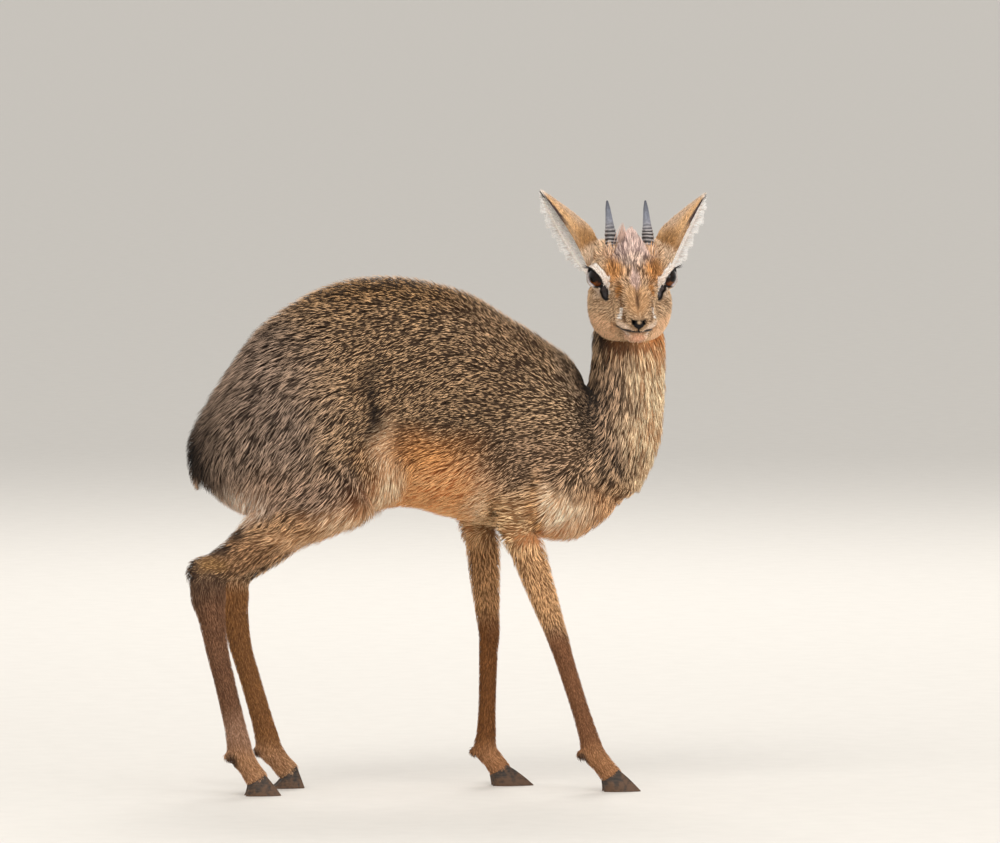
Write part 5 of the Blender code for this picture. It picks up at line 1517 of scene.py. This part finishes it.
def build_lashes():
    """Upper lashes: a row of thin dark blades along the upper lid's edge, longest towards the outer corner."""
    finish = Finish("lash", 0.5, 0.4)
    grain = finish.noise(900, 2)
    material = finish.colour(finish.ramp(grain, [(0.3, linear(14, 11, 10)), (0.7, linear(34, 27, 24))]))
    rows = []
    for sign in (-1, 1):
        number = 110
        turn = DICE.uniform(-0.97, 0.45, number)
        rise = LID_TALL * (1 - np.abs(turn / LID_LONG) ** LID_POWER) ** (1 / LID_POWER) + 0.05
        rise = rise - LID_TILT * turn + LID_RISE
        ahead = np.cos(rise)[:, None] * (np.cos(turn)[:, None] * EYE_AIM + np.sin(turn)[:, None] * EYE_ALONG)
        ahead = ahead + np.sin(rise)[:, None] * EYE_UP
        root = np.array(EYE_CENTRE) + (EYE_RADIUS + 0.9) * ahead
        fan = 0.45 + 0.35 * smoothstep(0.2, -0.8, turn)
        lie = EYE_AIM * 0.7 - EYE_ALONG * fan[:, None] + EYE_UP * 0.05 + 0.13 * DICE.normal(size=(number, 3))
        lie = unit(lie)
        length = 2.6 + 5.2 * smoothstep(0.1, -0.85, turn) + DICE.uniform(-0.7, 0.9, number)
        up = np.tile(EYE_UP, (number, 1))
        for part in (root, lie, up):
            part[:, 1] *= sign
        tone = np.zeros((number, 3))
        rows.append(dict(root=EYE_MIDDLE + root @ HEAD_AXES, normal=unit(up @ HEAD_AXES), lie=lie @ HEAD_AXES,
                         rise=np.full(number, 1.0), run=length, pull=np.zeros((number, 3)), dark=tone,
                         light=tone, width=np.full(number, 0.24), chance=DICE.random(number),
                         uv=np.stack([0.5 + 0.4 * turn, np.full(number, 0.5 + 0.25 * sign)], axis=1)))
    hair = {key: np.concatenate([part[key] for part in rows]) for key in rows[0]}
    coat_piece("lashes", hair, 2, material)


# Floor, light and camera.

def build_stage():
    """A plain pale floor, a pale sky, and three broad soft lights."""
    finish = Finish("floor", 0.9, 0.1)
    grain = finish.noise(40, 2)
    pale = finish.colour(finish.ramp(grain, [(0.3, linear(211, 207, 201)), (0.7, linear(214, 210, 204))]))
    data = bpy.data.meshes.new("floor")
    half = 120
    data.from_pydata([(-half, -half, 0), (half, -half, 0), (half, half, 0), (-half, half, 0)], [], [(0, 1, 2, 3)])
    data.materials.append(pale)
    floor = bpy.data.objects.new("floor", data)
    bpy.context.scene.collection.objects.link(floor)
    world = bpy.data.worlds.new("studio")
    bpy.context.scene.world = world
    world.use_nodes = True
    sky = world.node_tree.nodes["Background"]
    sky.inputs["Color"].default_value = (1.0, 0.985, 0.96, 1)
    sky.inputs["Strength"].default_value = 0.85
    lights = [("key", (-1.6, -2.6, 3.2), 2.6, 80, (1.0, 0.97, 0.92)),
              ("fill", (2.2, -3.2, 0.8), 2.4, 72, (1.0, 0.98, 0.96)),
              ("rim", (0.6, 3.0, 2.8), 2.0, 60, (1.0, 0.98, 0.95))]
    for name, place, size, power, colour in lights:
        lamp = bpy.data.lights.new(name, "AREA")
        lamp.shape = "DISK"
        lamp.size = size
        lamp.energy = power
        lamp.color = colour
        made = bpy.data.objects.new(name, lamp)
        bpy.context.scene.collection.objects.link(made)
        made.location = place
        aim = np.array([0, 0, 0.28]) - np.array(place)
        made.rotation_euler = look_along(aim)


def look_along(direction):
    """Turns of an object whose own view runs down its -Z: tilt from straight down, then heading."""
    direction = unit(np.asarray(direction, float))
    tilt = np.arccos(-direction[2])
    heading = np.arctan2(direction[1], direction[0]) - np.pi / 2
    return (tilt, 0.0, heading)


CAMERA_AZIMUTH, CAMERA_ELEVATION, CAMERA_DISTANCE = np.radians(-8), np.radians(3), 9.0
CAMERA_TARGET = np.array([0.0531, 0.0210, 0.3219])
PIXELS_PER_UNIT_SLOPE, PICTURE_WIDTH, SENSOR = 10305, 1000, 36.0


def build_camera():
    back = np.array([np.sin(CAMERA_AZIMUTH) * np.cos(CAMERA_ELEVATION),
                     -np.cos(CAMERA_AZIMUTH) * np.cos(CAMERA_ELEVATION), np.sin(CAMERA_ELEVATION)])
    lens = bpy.data.cameras.new("camera")
    lens.lens = SENSOR * PIXELS_PER_UNIT_SLOPE / PICTURE_WIDTH
    lens.sensor_width = SENSOR
    lens.clip_end = 400
    made = bpy.data.objects.new("camera", lens)
    bpy.context.scene.collection.objects.link(made)
    made.location = CAMERA_TARGET + CAMERA_DISTANCE * back
    made.rotation_euler = look_along(-back)
    bpy.context.scene.camera = made


def main():
    skin_object = build_skin()
    eye = eye_material()
    horn = horn_material()
    ear = ear_material()
    for name, sign in (("right", -1), ("left", 1)):
        build_eye(name, sign, eye)
        build_horn(name, sign, horn)
        build_ear(name, ear)
    build_hooves()
    build_coat(skin_object.data)
    build_ear_hair()
    build_horn_collars()
    build_lips()
    build_lashes()
    build_stage()
    build_camera()
    bpy.context.scene.view_settings.view_transform = "Standard"


main()
